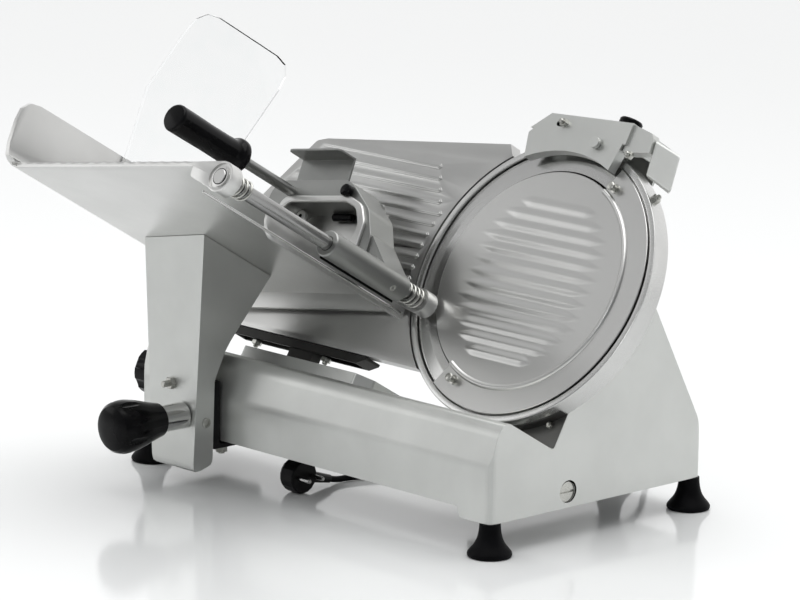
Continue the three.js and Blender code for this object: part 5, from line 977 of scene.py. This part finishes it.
ARM_EDGE_SHARE = 1.3
LOCK_SEAT = -37.8
SLEEVE_FAR = LOCK_SEAT - 35.6
SLEEVE_NEAR = LOCK_SEAT - 0.6
SLEEVE_RADIUS = 14.5
SLEEVE_CHAMFER = 1.5
SPIGOT_RADIUS = 8
SPIGOT_END = LOCK_SEAT + 11.4
KNOB_FRONT = LOCK_SEAT - 36
KNOB_LENGTH = 67.8
KNOB_RADIUS = 29
KNOB_SHARES = [
    (0, 0), (0.6, 0), (0.64, 0.02), (0.68, 0.1), (0.76, 0.24), (0.86, 0.39), (0.94, 0.53), (0.99, 0.65),
    (1, 0.73), (0.985, 0.81), (0.93, 0.89), (0.82, 0.95), (0.62, 0.985), (0.35, 1), (0, 1),
]
FLUTES = 8
FLUTE_RADIUS = 9
FLUTE_DEPTH = 1.8
FLUTE_START = 12
FLUTE_POINT = 4
FLUTE_OVERRUN = 9
ARM_STUD = (-352, -36.9, 109.6)
ARM_SCREW = (-312.9, -22.6, 69.8)
ARM_SCREW_PROFILE = [(0, 0), (5.5, 0), (5.5, 1.6), (4.6, 2.6), (2.6, 2.9), (2.2, 1.6), (0, 1.6)]


def lock_knob():
    """The tapered knob of the lock, with flutes cut by round bars."""
    profile = [(KNOB_RADIUS * out, KNOB_FRONT - KNOB_LENGTH * far) for out, far in KNOB_SHARES]
    knob = spun("lock_knob_finished", profile, "y", LOCK_LINE, "base", KNOB_STEPS)
    end = KNOB_FRONT - KNOB_LENGTH - FLUTE_OVERRUN
    flute = [
        (0, end), (FLUTE_RADIUS, end), (FLUTE_RADIUS, KNOB_FRONT - FLUTE_START),
        (0, KNOB_FRONT - FLUTE_POINT),
    ]
    across, depth, up = LOCK_LINE
    reach = KNOB_RADIUS + FLUTE_RADIUS - FLUTE_DEPTH
    for k in range(FLUTES):
        angle = 2 * math.pi * (k + 0.5) / FLUTES
        spot = (across + reach * math.cos(angle), depth, up + reach * math.sin(angle))
        cut(knob, spun("flute", flute, "y", spot, "base", STUD_STEPS))
    return edged(knob, EDGES["lock_knob"] * MM, angle=25)


class SLICER_OT_arm(bpy.types.Operator):
    """Finishes the arm, its stud and screw, and the lock's sleeve and knob"""
    bl_idname = "slicer.arm"
    bl_label = "Arm and lock"

    def execute(self, context):
        sizes = context.scene.slicer_sizes
        dressed("carriage_arm", "carriage", "cast", sizes.cast_edge * ARM_EDGE_SHARE, segments=4)
        face = SLEEVE_RADIUS - SLEEVE_CHAMFER
        sleeve = spun("lock_sleeve_finished", [
            (0, SLEEVE_FAR), (face, SLEEVE_FAR), (SLEEVE_RADIUS, SLEEVE_FAR + SLEEVE_CHAMFER),
            (SLEEVE_RADIUS, SLEEVE_NEAR - SLEEVE_CHAMFER), (face, SLEEVE_NEAR),
            (SPIGOT_RADIUS, SLEEVE_NEAR), (SPIGOT_RADIUS, SPIGOT_END), (0, SPIGOT_END),
        ], "y", LOCK_LINE, "base", sizes.small_steps)
        finished(sleeve, "carriage", "steel", "lock_sleeve")
        finished(lock_knob(), "arm_lock", "plastic", "lock_knob", angle=40)
        stud = hex_head("arm_stud", HEADS["arm_stud"], "-y", ARM_STUD, "base")
        finished(stud, "carriage", "zinc")
        screw = spun("arm_side_screw", ARM_SCREW_PROFILE, "x", ARM_SCREW, "base", STUD_STEPS)
        finished(screw, "carriage", "zinc")
        return {"FINISHED"}


# Tray: how its ribs are cut back, the cap on the rod's lug ringed with painted shadow, and the skirt's bead
# and painted shadow line

TRAY_EDGE_SHARE = 1.6
RIB_SPAN = (-118, 158)
RIB_ABOVE = 9
RIB_TOP = 5.6
RIB_TOP_DEPTHS = (-345, -8)
RIB_FRONT_LOW = 2
RIB_FRONT_DEPTHS = (-354, -350.05)
RIB_WEDGE = [(-354, 5.25), (-262, 6.7), (-262, RIB_ABOVE), (-354, RIB_ABOVE)]
LUG_CAP = [(0, -351.2), (7.4, -351.2), (8, -350.6), (8, -348.4), (0, -348.4)]
# Painted shadow: a black ring round the cap on the rod's lug
LUG_GROOVE_SHADOW = (7.6, 8.9, -350.3, -349.6)
SKIRT_BEAD_LINE = (161.6, 0, -22.4)
SKIRT_BEAD_RADIUS = 1.7
SKIRT_BEAD_ENDS = (-338, -12)
SKIRT_SHADOW = (162.05, 162.35, -17.6, -13.6)
SKIRT_SHADOW_ENDS = (-152, -30)


class SLICER_OT_tray(bpy.types.Operator):
    """Finishes the tray and the clear guard on its wall"""
    bl_idname = "slicer.tray"
    bl_label = "Tray"

    def execute(self, context):
        sizes = context.scene.slicer_sizes
        tray = refined("carriage_tray", 0)
        cut(tray, prism("rib_tops", oblong(*RIB_SPAN, RIB_TOP, RIB_ABOVE), "y", *RIB_TOP_DEPTHS, "tray"))
        cut(tray, prism(
            "rib_fronts", oblong(*RIB_SPAN, RIB_FRONT_LOW, RIB_ABOVE), "y", *RIB_FRONT_DEPTHS, "tray"))
        cut(tray, prism("rib_ends", RIB_WEDGE, "x", *RIB_SPAN, "tray"))
        edged(tray, sizes.sheet_edge * TRAY_EDGE_SHARE)
        finished(tray, "carriage", "tray", "carriage_tray", flat_faces=False)
        cap = spun("lug_cap", LUG_CAP, "y", ROD_LINE, "tray", sizes.small_steps)
        finished(cap, "carriage", "sheet")
        # Painted shadow: a black ring in the groove round the lug's cap
        groove = spun(
            "lug_groove_shadow", oblong(*LUG_GROOVE_SHADOW), "y", ROD_LINE, "tray", sizes.small_steps, closed=True)
        finished(groove, "carriage", "gap")
        bead = rounded_rod(
            "skirt_bead", SKIRT_BEAD_RADIUS, *SKIRT_BEAD_ENDS, "y", SKIRT_BEAD_LINE, "tray", SLIM_STEPS)
        finished(bead, "carriage", "steel")
        # Painted shadow: a black strip on the skirt just under the pusher's sleeve
        shadow = prism("skirt_shadow", oblong(*SKIRT_SHADOW), "y", *SKIRT_SHADOW_ENDS, "tray")
        finished(shadow, "carriage", "gap")
        dressed("hand_shield", "carriage", "acrylic")
        return {"FINISHED"}


# Pusher: outlines as corners with their radii, then the casting's depths and the small pieces on it

CASTING_OUTLINE = [(-2, 8.5, 9), (11, 94, 20), (122, 94, 30), (160, 60, 24), (173, 30, 20), (173, 8.5, 0)]
HOLLOW_OUTLINE = [(4.5, 15, 6), (16.5, 87, 16), (119, 87, 26), (153, 57, 20), (166, 28, 16), (166, 15, 6)]
LINING_OUTLINE = [(28, 15, 9), (155, 15, 5), (158, 44, 14), (148, 65, 14), (128, 73, 16), (28, 73, 13)]
HAND_OUTLINE = [(34, 21, 9), (148, 21, 5), (152, 42, 14), (143, 60, 14), (126, 67.5, 16), (34, 67.5, 13)]
HAND_RIM_OUTLINE = [
    (29, 15, 9), (160, 14, 5), (161.5, 45, 18), (151, 65, 18), (129, 75, 20), (29, 75, 14),
]
CASTING_FRONT = -100
CASTING_BACK = -60
CASTING_FOOT = 9
FRONT_ROUNDING = 11
FRONT_FACETS = 7
SAME_PLANE = 0.1
HOLLOW_DEPTHS = (-92, -50)
LINING_DEPTHS = (-98, CASTING_BACK)
HAND_DEPTHS = (-110, -50)
RIM_HAND_DEPTHS = (-110, -90)
HAND_RIM_DEPTHS = (-103.6, -99)
SLEEVE_ARM = [(169, 7.3), (169, 34), (174, 30.6), (203, -1.5), (192.6, -11.5), (181, -11.5)]
SLEEVE_ARM_DEPTHS = (-97.3, -60.7)
PUSHER_SLEEVE = [(0, -178), (13.4, -178), (14.6, -176.8), (14.6, -56.2), (13.4, -55), (0, -55)]
ROD_BORE_RADIUS = 8.4
ROD_BORE_ENDS = (-190, -40)
OPENING_BACK = (30, 153, 17, 70)
OPENING_BACK_DEPTHS = (-62.6, -61.6)
LATCH_LINE = (0, -68, 64)
LATCH_RADIUS = 4.2
LATCH_ENDS = (80, 108)
LUG_LINE = (44, 0, 60)
LUG_PROFILE = [(0, -82), (6.4, -82), (7, -81.4), (7, -78), (0, -78)]
LUG_HOLE_RADIUS = 2.3
LUG_HOLE_ENDS = (-82.2, -81.8)
SET_SCREW = (204.4, -77.8, -19.8)
SET_SCREW_DIRECTION = (12, 0, -8.4)
SET_SCREW_SECTION = [(1.4, 0), (3.6, 0), (3.6, 0.5), (3.2, 0.8), (1.9, 0.8), (1.4, 0.3)]
ROD_RADIUS = 8
ROD_ENDS = (-343.7, -14.3)
ROD_CHAMFER = 1
SPRING_WIRE = 1.4
SPRING_RADIUS = 10.6
SPRING_LENGTH = 26
SPRING_TURNS = 3.5
SPRING_STEPS = 24
SPRING_FACETS = 12
SPRING_STARTS = {"outer": -333.7, "inner": -50.3}
GRIP_PROFILE = [
    (0, -297), (11.5, -297), (14, -296.2), (15.2, -294.6), (15.5, -292.5), (15.3, -270), (14.9, -245),
    (15, -220), (15.4, -208), (16.4, -203.2), (18.6, -201), (19.6, -199.2), (20, -196), (19.6, -192.6),
    (18.2, -191), (11, -189.6), (6.5, -188), (0, -188),
]
STEM_PROFILE = [(0, -189), (10.4, -189), (10.4, -183), (6, -182), (6, -70.2), (0, -70.2)]
LOCK_SCREW_LINE = (124, 0, 80)
LOCK_SCREW_PROFILE = [
    (0, -108.3), (5.2, -108.3), (6.6, -107.4), (7, -106), (7, -102.4), (6.2, -101.2), (5.3, -100.3),
    (4, -100.3), (4, -70.4), (0, -70.4),
]


def round_front(body):
    """Rounds the front edges of the pusher's casting, all but the one at its foot."""
    inward = TRAY_FRAME.inverted()
    select_only(body)
    bpy.ops.object.mode_set(mode="EDIT")
    bpy.ops.mesh.select_all(action="DESELECT")
    bpy.ops.object.mode_set(mode="OBJECT")
    for side in body.data.edges:
        ends = [inward @ body.data.vertices[i].co / MM for i in side.vertices]
        at_front = all(abs(end.y - CASTING_FRONT) < SAME_PLANE for end in ends)
        side.select = at_front and max(end.z for end in ends) > CASTING_FOOT
    bpy.ops.object.mode_set(mode="EDIT")
    bpy.ops.mesh.select_mode(type="EDGE")
    bpy.ops.mesh.bevel(
        offset=FRONT_ROUNDING * MM, segments=FRONT_FACETS, affect="EDGES", clamp_overlap=True)
    mend()


def pusher_casting(edge, steps):
    """The pusher's casting: a domed shell with a lined hand opening, and the sleeve on the rod."""
    body = prism(
        "pusher_casting", rounded_outline(CASTING_OUTLINE), "y", CASTING_FRONT, CASTING_BACK, "tray")
    round_front(body)
    cut(body, prism("hollow", rounded_outline(HOLLOW_OUTLINE), "y", *HOLLOW_DEPTHS, "tray"))
    cut(body, prism("lining", rounded_outline(LINING_OUTLINE), "y", *LINING_DEPTHS, "tray"), "UNION")
    cut(body, prism("sleeve_arm", SLEEVE_ARM, "y", *SLEEVE_ARM_DEPTHS, "tray"), "UNION")
    cut(body, spun("sleeve", PUSHER_SLEEVE, "y", ROD_LINE, "tray", GRIP_STEPS), "UNION")
    cut(body, prism("opening", rounded_outline(HAND_OUTLINE), "y", *HAND_DEPTHS, "tray"))
    cut(body, disc("rod_bore", ROD_BORE_RADIUS, *ROD_BORE_ENDS, "y", ROD_LINE, "tray", steps))
    return edged(body, edge, angle=40)


def pusher_details():
    """The opening's raised rim in a lighter finish, a painted highlight, the plate seen through it, its latch
    and lug, and the sleeve's set screw.
    """
    # A raised rim round the opening; its lighter tray finish is a painted highlight
    rim = prism("hand_rim_highlight", rounded_outline(HAND_RIM_OUTLINE), "y", *HAND_RIM_DEPTHS, "tray")
    cut(rim, prism("rim_opening", rounded_outline(HAND_OUTLINE), "y", *RIM_HAND_DEPTHS, "tray"))
    finished(edged(rim, EDGES["hand_rim_highlight"] * MM, segments=4), "pusher", "tray", angle=40)
    back = prism("opening_back", oblong(*OPENING_BACK), "y", *OPENING_BACK_DEPTHS, "tray")
    finished(back, "pusher", "cover")
    latch = rounded_rod("opening_latch", LATCH_RADIUS, *LATCH_ENDS, "x", LATCH_LINE, "tray", SLIM_STEPS)
    finished(latch, "pusher", "plastic")
    lug = spun("opening_lug", LUG_PROFILE, "y", LUG_LINE, "tray", STUD_STEPS)
    finished(lug, "pusher", "cover")
    # Painted shade: a thin black disc on the lug where its hole is
    hole = disc("opening_lug_hole_shade", LUG_HOLE_RADIUS, *LUG_HOLE_ENDS, "y", LUG_LINE, "tray", TINY_STEPS)
    finished(hole, "pusher", "gap")
    screw = spun(
        "sleeve_set_screw", SET_SCREW_SECTION, SET_SCREW_DIRECTION, SET_SCREW, "tray", SLIM_STEPS,
        closed=True)
    finished(screw, "pusher", "zinc")


def spring(name, start):
    """A coil spring round the pusher's rod: a small circle screwed along the rod."""
    deselect()
    bpy.ops.mesh.primitive_circle_add(
        vertices=SPRING_FACETS, radius=SPRING_WIRE * MM, location=metres((SPRING_RADIUS, 0, 0)),
        rotation=(math.pi / 2, 0, 0))
    item = bpy.context.active_object
    item.name = item.data.name = name
    bpy.ops.object.transform_apply(location=True, rotation=True, scale=True)
    steps = int(SPRING_STEPS * SPRING_TURNS)
    modified(
        item, "SCREW", axis="Z", angle=-2 * math.pi * SPRING_TURNS,
        screw_offset=(SPRING_LENGTH - 2 * SPRING_WIRE) * MM, steps=steps, render_steps=steps,
        use_merge_vertices=False)
    bpy.ops.object.mode_set(mode="EDIT")
    bpy.ops.mesh.select_all(action="DESELECT")
    bpy.ops.mesh.select_non_manifold()
    bpy.ops.mesh.fill_holes(sides=0)
    mend()
    across, depth, up = ROD_LINE
    foot = metres((across, depth + start + SPRING_WIRE, up))
    place(item, TRAY_FRAME @ Matrix.Translation(foot) @ ALONG["y"])
    return item


class SLICER_OT_pusher(bpy.types.Operator):
    """Makes the pusher with its rod, springs, plate, grip and screw"""
    bl_idname = "slicer.pusher"
    bl_label = "Pusher"

    def execute(self, context):
        sizes = context.scene.slicer_sizes
        steps = sizes.small_steps
        rod = rounded_rod(
            "pusher_rod_finished", ROD_RADIUS, *ROD_ENDS, "y", ROD_LINE, "tray", steps, ROD_CHAMFER)
        finished(rod, "pusher_shaft", "rod", "pusher_rod")
        for end, start in SPRING_STARTS.items():
            node = "buffer_spring_" + end
            finished(spring(node + "_finished", start), "pusher_shaft", "zinc", node, angle=60)
        finished(pusher_casting(sizes.cast_edge, steps), "pusher", "slide", "pusher_body", angle=40)
        pusher_details()
        dressed("press_plate", "pusher", "slide", sizes.sheet_edge)
        grip = spun("pusher_grip_finished", GRIP_PROFILE, "y", GRIP_LINE, "tray", GRIP_STEPS)
        finished(grip, "pusher", "plastic", "pusher_grip")
        stem = spun("pusher_grip_stem", STEM_PROFILE, "y", GRIP_LINE, "tray", STEM_STEPS)
        finished(stem, "pusher", "slide")
        screw = spun("pusher_screw_finished", LOCK_SCREW_PROFILE, "y", LOCK_SCREW_LINE, "tray", steps)
        finished(screw, "pusher_screw", "plastic", "pusher_lock_screw")
        return {"FINISHED"}


# Sharpener: the box and the lean of its right wall, the knob's cap, the hood's slot as painted shade, and its
# screws

BOX_OUTLINE = [(98.3, 173), (140.5, 161), (147, 119), (104, 133)]
BOX_DEPTHS = (-9, 24)
BOX_RIGHT = 120
BOX_LEAN = (-33, 8)
BOX_EDGE_SHARE = 2
KNOB_CAP = [(0, 3), (10.6, 3), (11.4, 4), (12.4, 5), (12.8, 6.4), (12.8, 10), (11.6, 11.6), (0, 12)]
# Painted shade: the hood's slot, as a flat black mark on its face
HOOD_SLOT_SHADE = [(-37, 166.5, 2.9), (-23, 166.5, 2.9), (-23, 172.5, 2.9), (-37, 172.5, 2.9)]
HOOD_SLOT_SHADE_DEPTHS = (-15.25, -14.6)
HOOD_SCREWS = {"hood_screw": (-25.5, -15, 170.5), "recess_screw": (76, -10, 150)}


def sharpener_box(edge):
    """The tilted box at the sharpener's right, whose right wall leans in towards the back."""
    box = prism("sharpener_box_finished", BOX_OUTLINE, "y", *BOX_DEPTHS, "knife")
    inward = KNIFE_FRAME.inverted()
    across, up = BOX_LEAN
    for vertex in box.data.vertices:
        spot = inward @ vertex.co / MM
        if spot.y > 0 and spot.x > BOX_RIGHT:
            spot.x += across
            spot.z += up
            vertex.co = KNIFE_FRAME @ (spot * MM)
    return edged(box, edge * BOX_EDGE_SHARE, segments=4)


class SLICER_OT_sharpener(bpy.types.Operator):
    """Finishes the sharpener's hood, box, post, knob and stones"""
    bl_idname = "slicer.sharpener"
    bl_label = "Sharpener"

    def execute(self, context):
        sizes = context.scene.slicer_sizes
        dressed("sharpener_hood", "sharpener", "hood", sizes.cast_edge)
        finished(sharpener_box(sizes.cast_edge), "sharpener", "cast", "sharpener_box")
        dressed("clamp_knob", "sharpener_clamp", "plastic")
        crown = box_centre("clamp_knob", "knife")
        cap = spun("clamp_knob_cap", KNOB_CAP, "z", crown, "knife", sizes.small_steps)
        finished(cap, "sharpener_clamp", "plastic")
        # Painted shade: a thin black plate on the hood where its slot is
        slot = prism("hood_slot_shade", rounded_outline(HOOD_SLOT_SHADE), "y", *HOOD_SLOT_SHADE_DEPTHS, "knife")
        finished(slot, "sharpener", "gap")
        for name, spot in HOOD_SCREWS.items():
            finished(hex_head(name, HEADS[name], "-y", spot, "knife"), "sharpener", "zinc")
        dressed("sharpener_post", "base", "steel")
        carried("grinding_stone", "abrasive")
        carried("truing_stone", "abrasive")
        dressed("grinding_shaft", "grinder", "steel")
        dressed("truing_shaft", "truer", "hood")
        return {"FINISHED"}


class SLICER_OT_switch(bpy.types.Operator):
    """Finishes the switch and its two buttons"""
    bl_idname = "slicer.switch"
    bl_label = "Switch"

    def execute(self, context):
        dressed("switch_case", "base", "matte")
        dressed("start_button", "start", "green")
        dressed("stop_button", "stop", "red")
        return {"FINISHED"}


# Stage, in metres and watts: the floor, the lights by place, size and power, and the bright parts of the
# surroundings, each a direction and the two values of the dot product with it between which it brightens

FLOOR_SIZE = 30
FLOOR_DROP = 0.0002
FLOOR_ROUGHNESS = 0.12
FLOOR_CLOUD = 0.6
FLOOR_DARK_SHARE = 0.99
LIGHTS = {
    "top": ((0.2, 0.2, 2.8), 2.6, 40),
    "left": ((-2.6, -1.9, 1.15), 1.5, 7),
    "front": ((0.6, -2.6, 1.9), 0.7, 7),
}
LIGHT_AIM = (0, 0, 0.2)
BRIGHT_PARTS = (
    ((-0.3, 0.95, 0.0), -0.05, 0.58),
    ((0.0, 0.0, 1.0), 0.62, 0.96),
    ((-0.92, -0.3, 0.25), 0.3, 1.6),
)
ROOM_TONES = (0.2, 0.205, 0.21), (1, 1, 1)
ROOM_STRENGTH = 1.1


def surroundings():
    """White behind and above the slicer, and a darker room in front, which the bright metal shows."""
    world = bpy.data.worlds.new("bright studio")
    world.use_nodes = True
    tree = world.node_tree
    background = tree.nodes["Background"]
    towards = add(tree, "ShaderNodeTexCoord").outputs["Generated"]
    shares = []
    for direction, dark, bright in BRIGHT_PARTS:
        along = add(tree, "ShaderNodeVectorMath", operation="DOT_PRODUCT")
        along.inputs[1].default_value = direction
        tree.links.new(towards, along.inputs[0])
        span = add(tree, "ShaderNodeMapRange", interpolation_type="SMOOTHSTEP")
        span.inputs["From Min"].default_value = dark
        span.inputs["From Max"].default_value = bright
        tree.links.new(along.outputs["Value"], span.inputs["Value"])
        shares.append(span.outputs["Result"])
    most = shares[0]
    for share in shares[1:]:
        larger = add(tree, "ShaderNodeMath", operation="MAXIMUM")
        tree.links.new(most, larger.inputs[0])
        tree.links.new(share, larger.inputs[1])
        most = larger.outputs["Value"]
    tree.links.new(ramp(tree, most, *ROOM_TONES, 0.0, 1.0), background.inputs["Color"])
    background.inputs["Strength"].default_value = ROOM_STRENGTH
    return world


class SLICER_OT_stage(bpy.types.Operator):
    """Adds the pale floor, the lights and the bright surroundings"""
    bl_idname = "slicer.stage"
    bl_label = "Stage"

    def execute(self, context):
        deselect()
        bpy.ops.mesh.primitive_plane_add(size=FLOOR_SIZE, location=(0, 0, -FLOOR_DROP))
        floor = context.active_object
        floor.name = "floor"
        material, tree, surface = shader("pale floor")
        surface.inputs["Roughness"].default_value = FLOOR_ROUGHNESS
        cloud = object_noise(tree, FLOOR_CLOUD)
        colour = context.scene.slicer_colours.floor
        tone = ramp(tree, cloud, tinted(colour, FLOOR_DARK_SHARE), tuple(colour))
        tree.links.new(tone, surface.inputs["Base Color"])
        floor.data.materials.append(material)
        for name, (location, size, power) in LIGHTS.items():
            bpy.ops.object.light_add(type="AREA", location=location)
            light = context.active_object
            light.name = name + "_light"
            light.data.size = size
            light.data.energy = power
            aim = Vector(LIGHT_AIM) - Vector(location)
            light.rotation_euler = aim.to_track_quat("-Z", "Y").to_euler()
        context.scene.world = surroundings()
        context.scene.view_settings.view_transform = "Standard"
        return {"FINISHED"}


class SLICER_PT_panel(bpy.types.Panel):
    """Lists the steps that build the slicer"""
    bl_label = "Gravity feed slicer"
    bl_idname = "SLICER_PT_panel"
    bl_space_type = "VIEW_3D"
    bl_region_type = "UI"
    bl_category = "Slicer"

    def draw(self, context):
        column = self.layout.column()
        for group in (context.scene.slicer_sizes, context.scene.slicer_colours):
            for key in group.__annotations__:
                column.prop(group, key)
        for step in STEPS:
            column.operator(step.bl_idname)


STEPS = (
    SLICER_OT_camera, SLICER_OT_cord, SLICER_OT_base, SLICER_OT_feet, SLICER_OT_guard, SLICER_OT_blade,
    SLICER_OT_cover, SLICER_OT_gauge, SLICER_OT_thickness, SLICER_OT_slide, SLICER_OT_arm, SLICER_OT_tray,
    SLICER_OT_pusher, SLICER_OT_sharpener, SLICER_OT_switch, SLICER_OT_stage,
)
CLASSES = (SlicerSizes, SlicerColours, *STEPS, SLICER_PT_panel)


def register():
    for item in CLASSES:
        bpy.utils.register_class(item)
    bpy.types.Scene.slicer_sizes = PointerProperty(type=SlicerSizes)
    bpy.types.Scene.slicer_colours = PointerProperty(type=SlicerColours)


def unregister():
    del bpy.types.Scene.slicer_colours
    del bpy.types.Scene.slicer_sizes
    for item in reversed(CLASSES):
        bpy.utils.unregister_class(item)


def main():
    register()
    MATERIALS.update(make_materials(bpy.context.scene.slicer_colours))
    for step in STEPS:
        group, name = step.bl_idname.split(".")
        getattr(getattr(bpy.ops, group), name)()


if __name__ == "__main__":
    main()
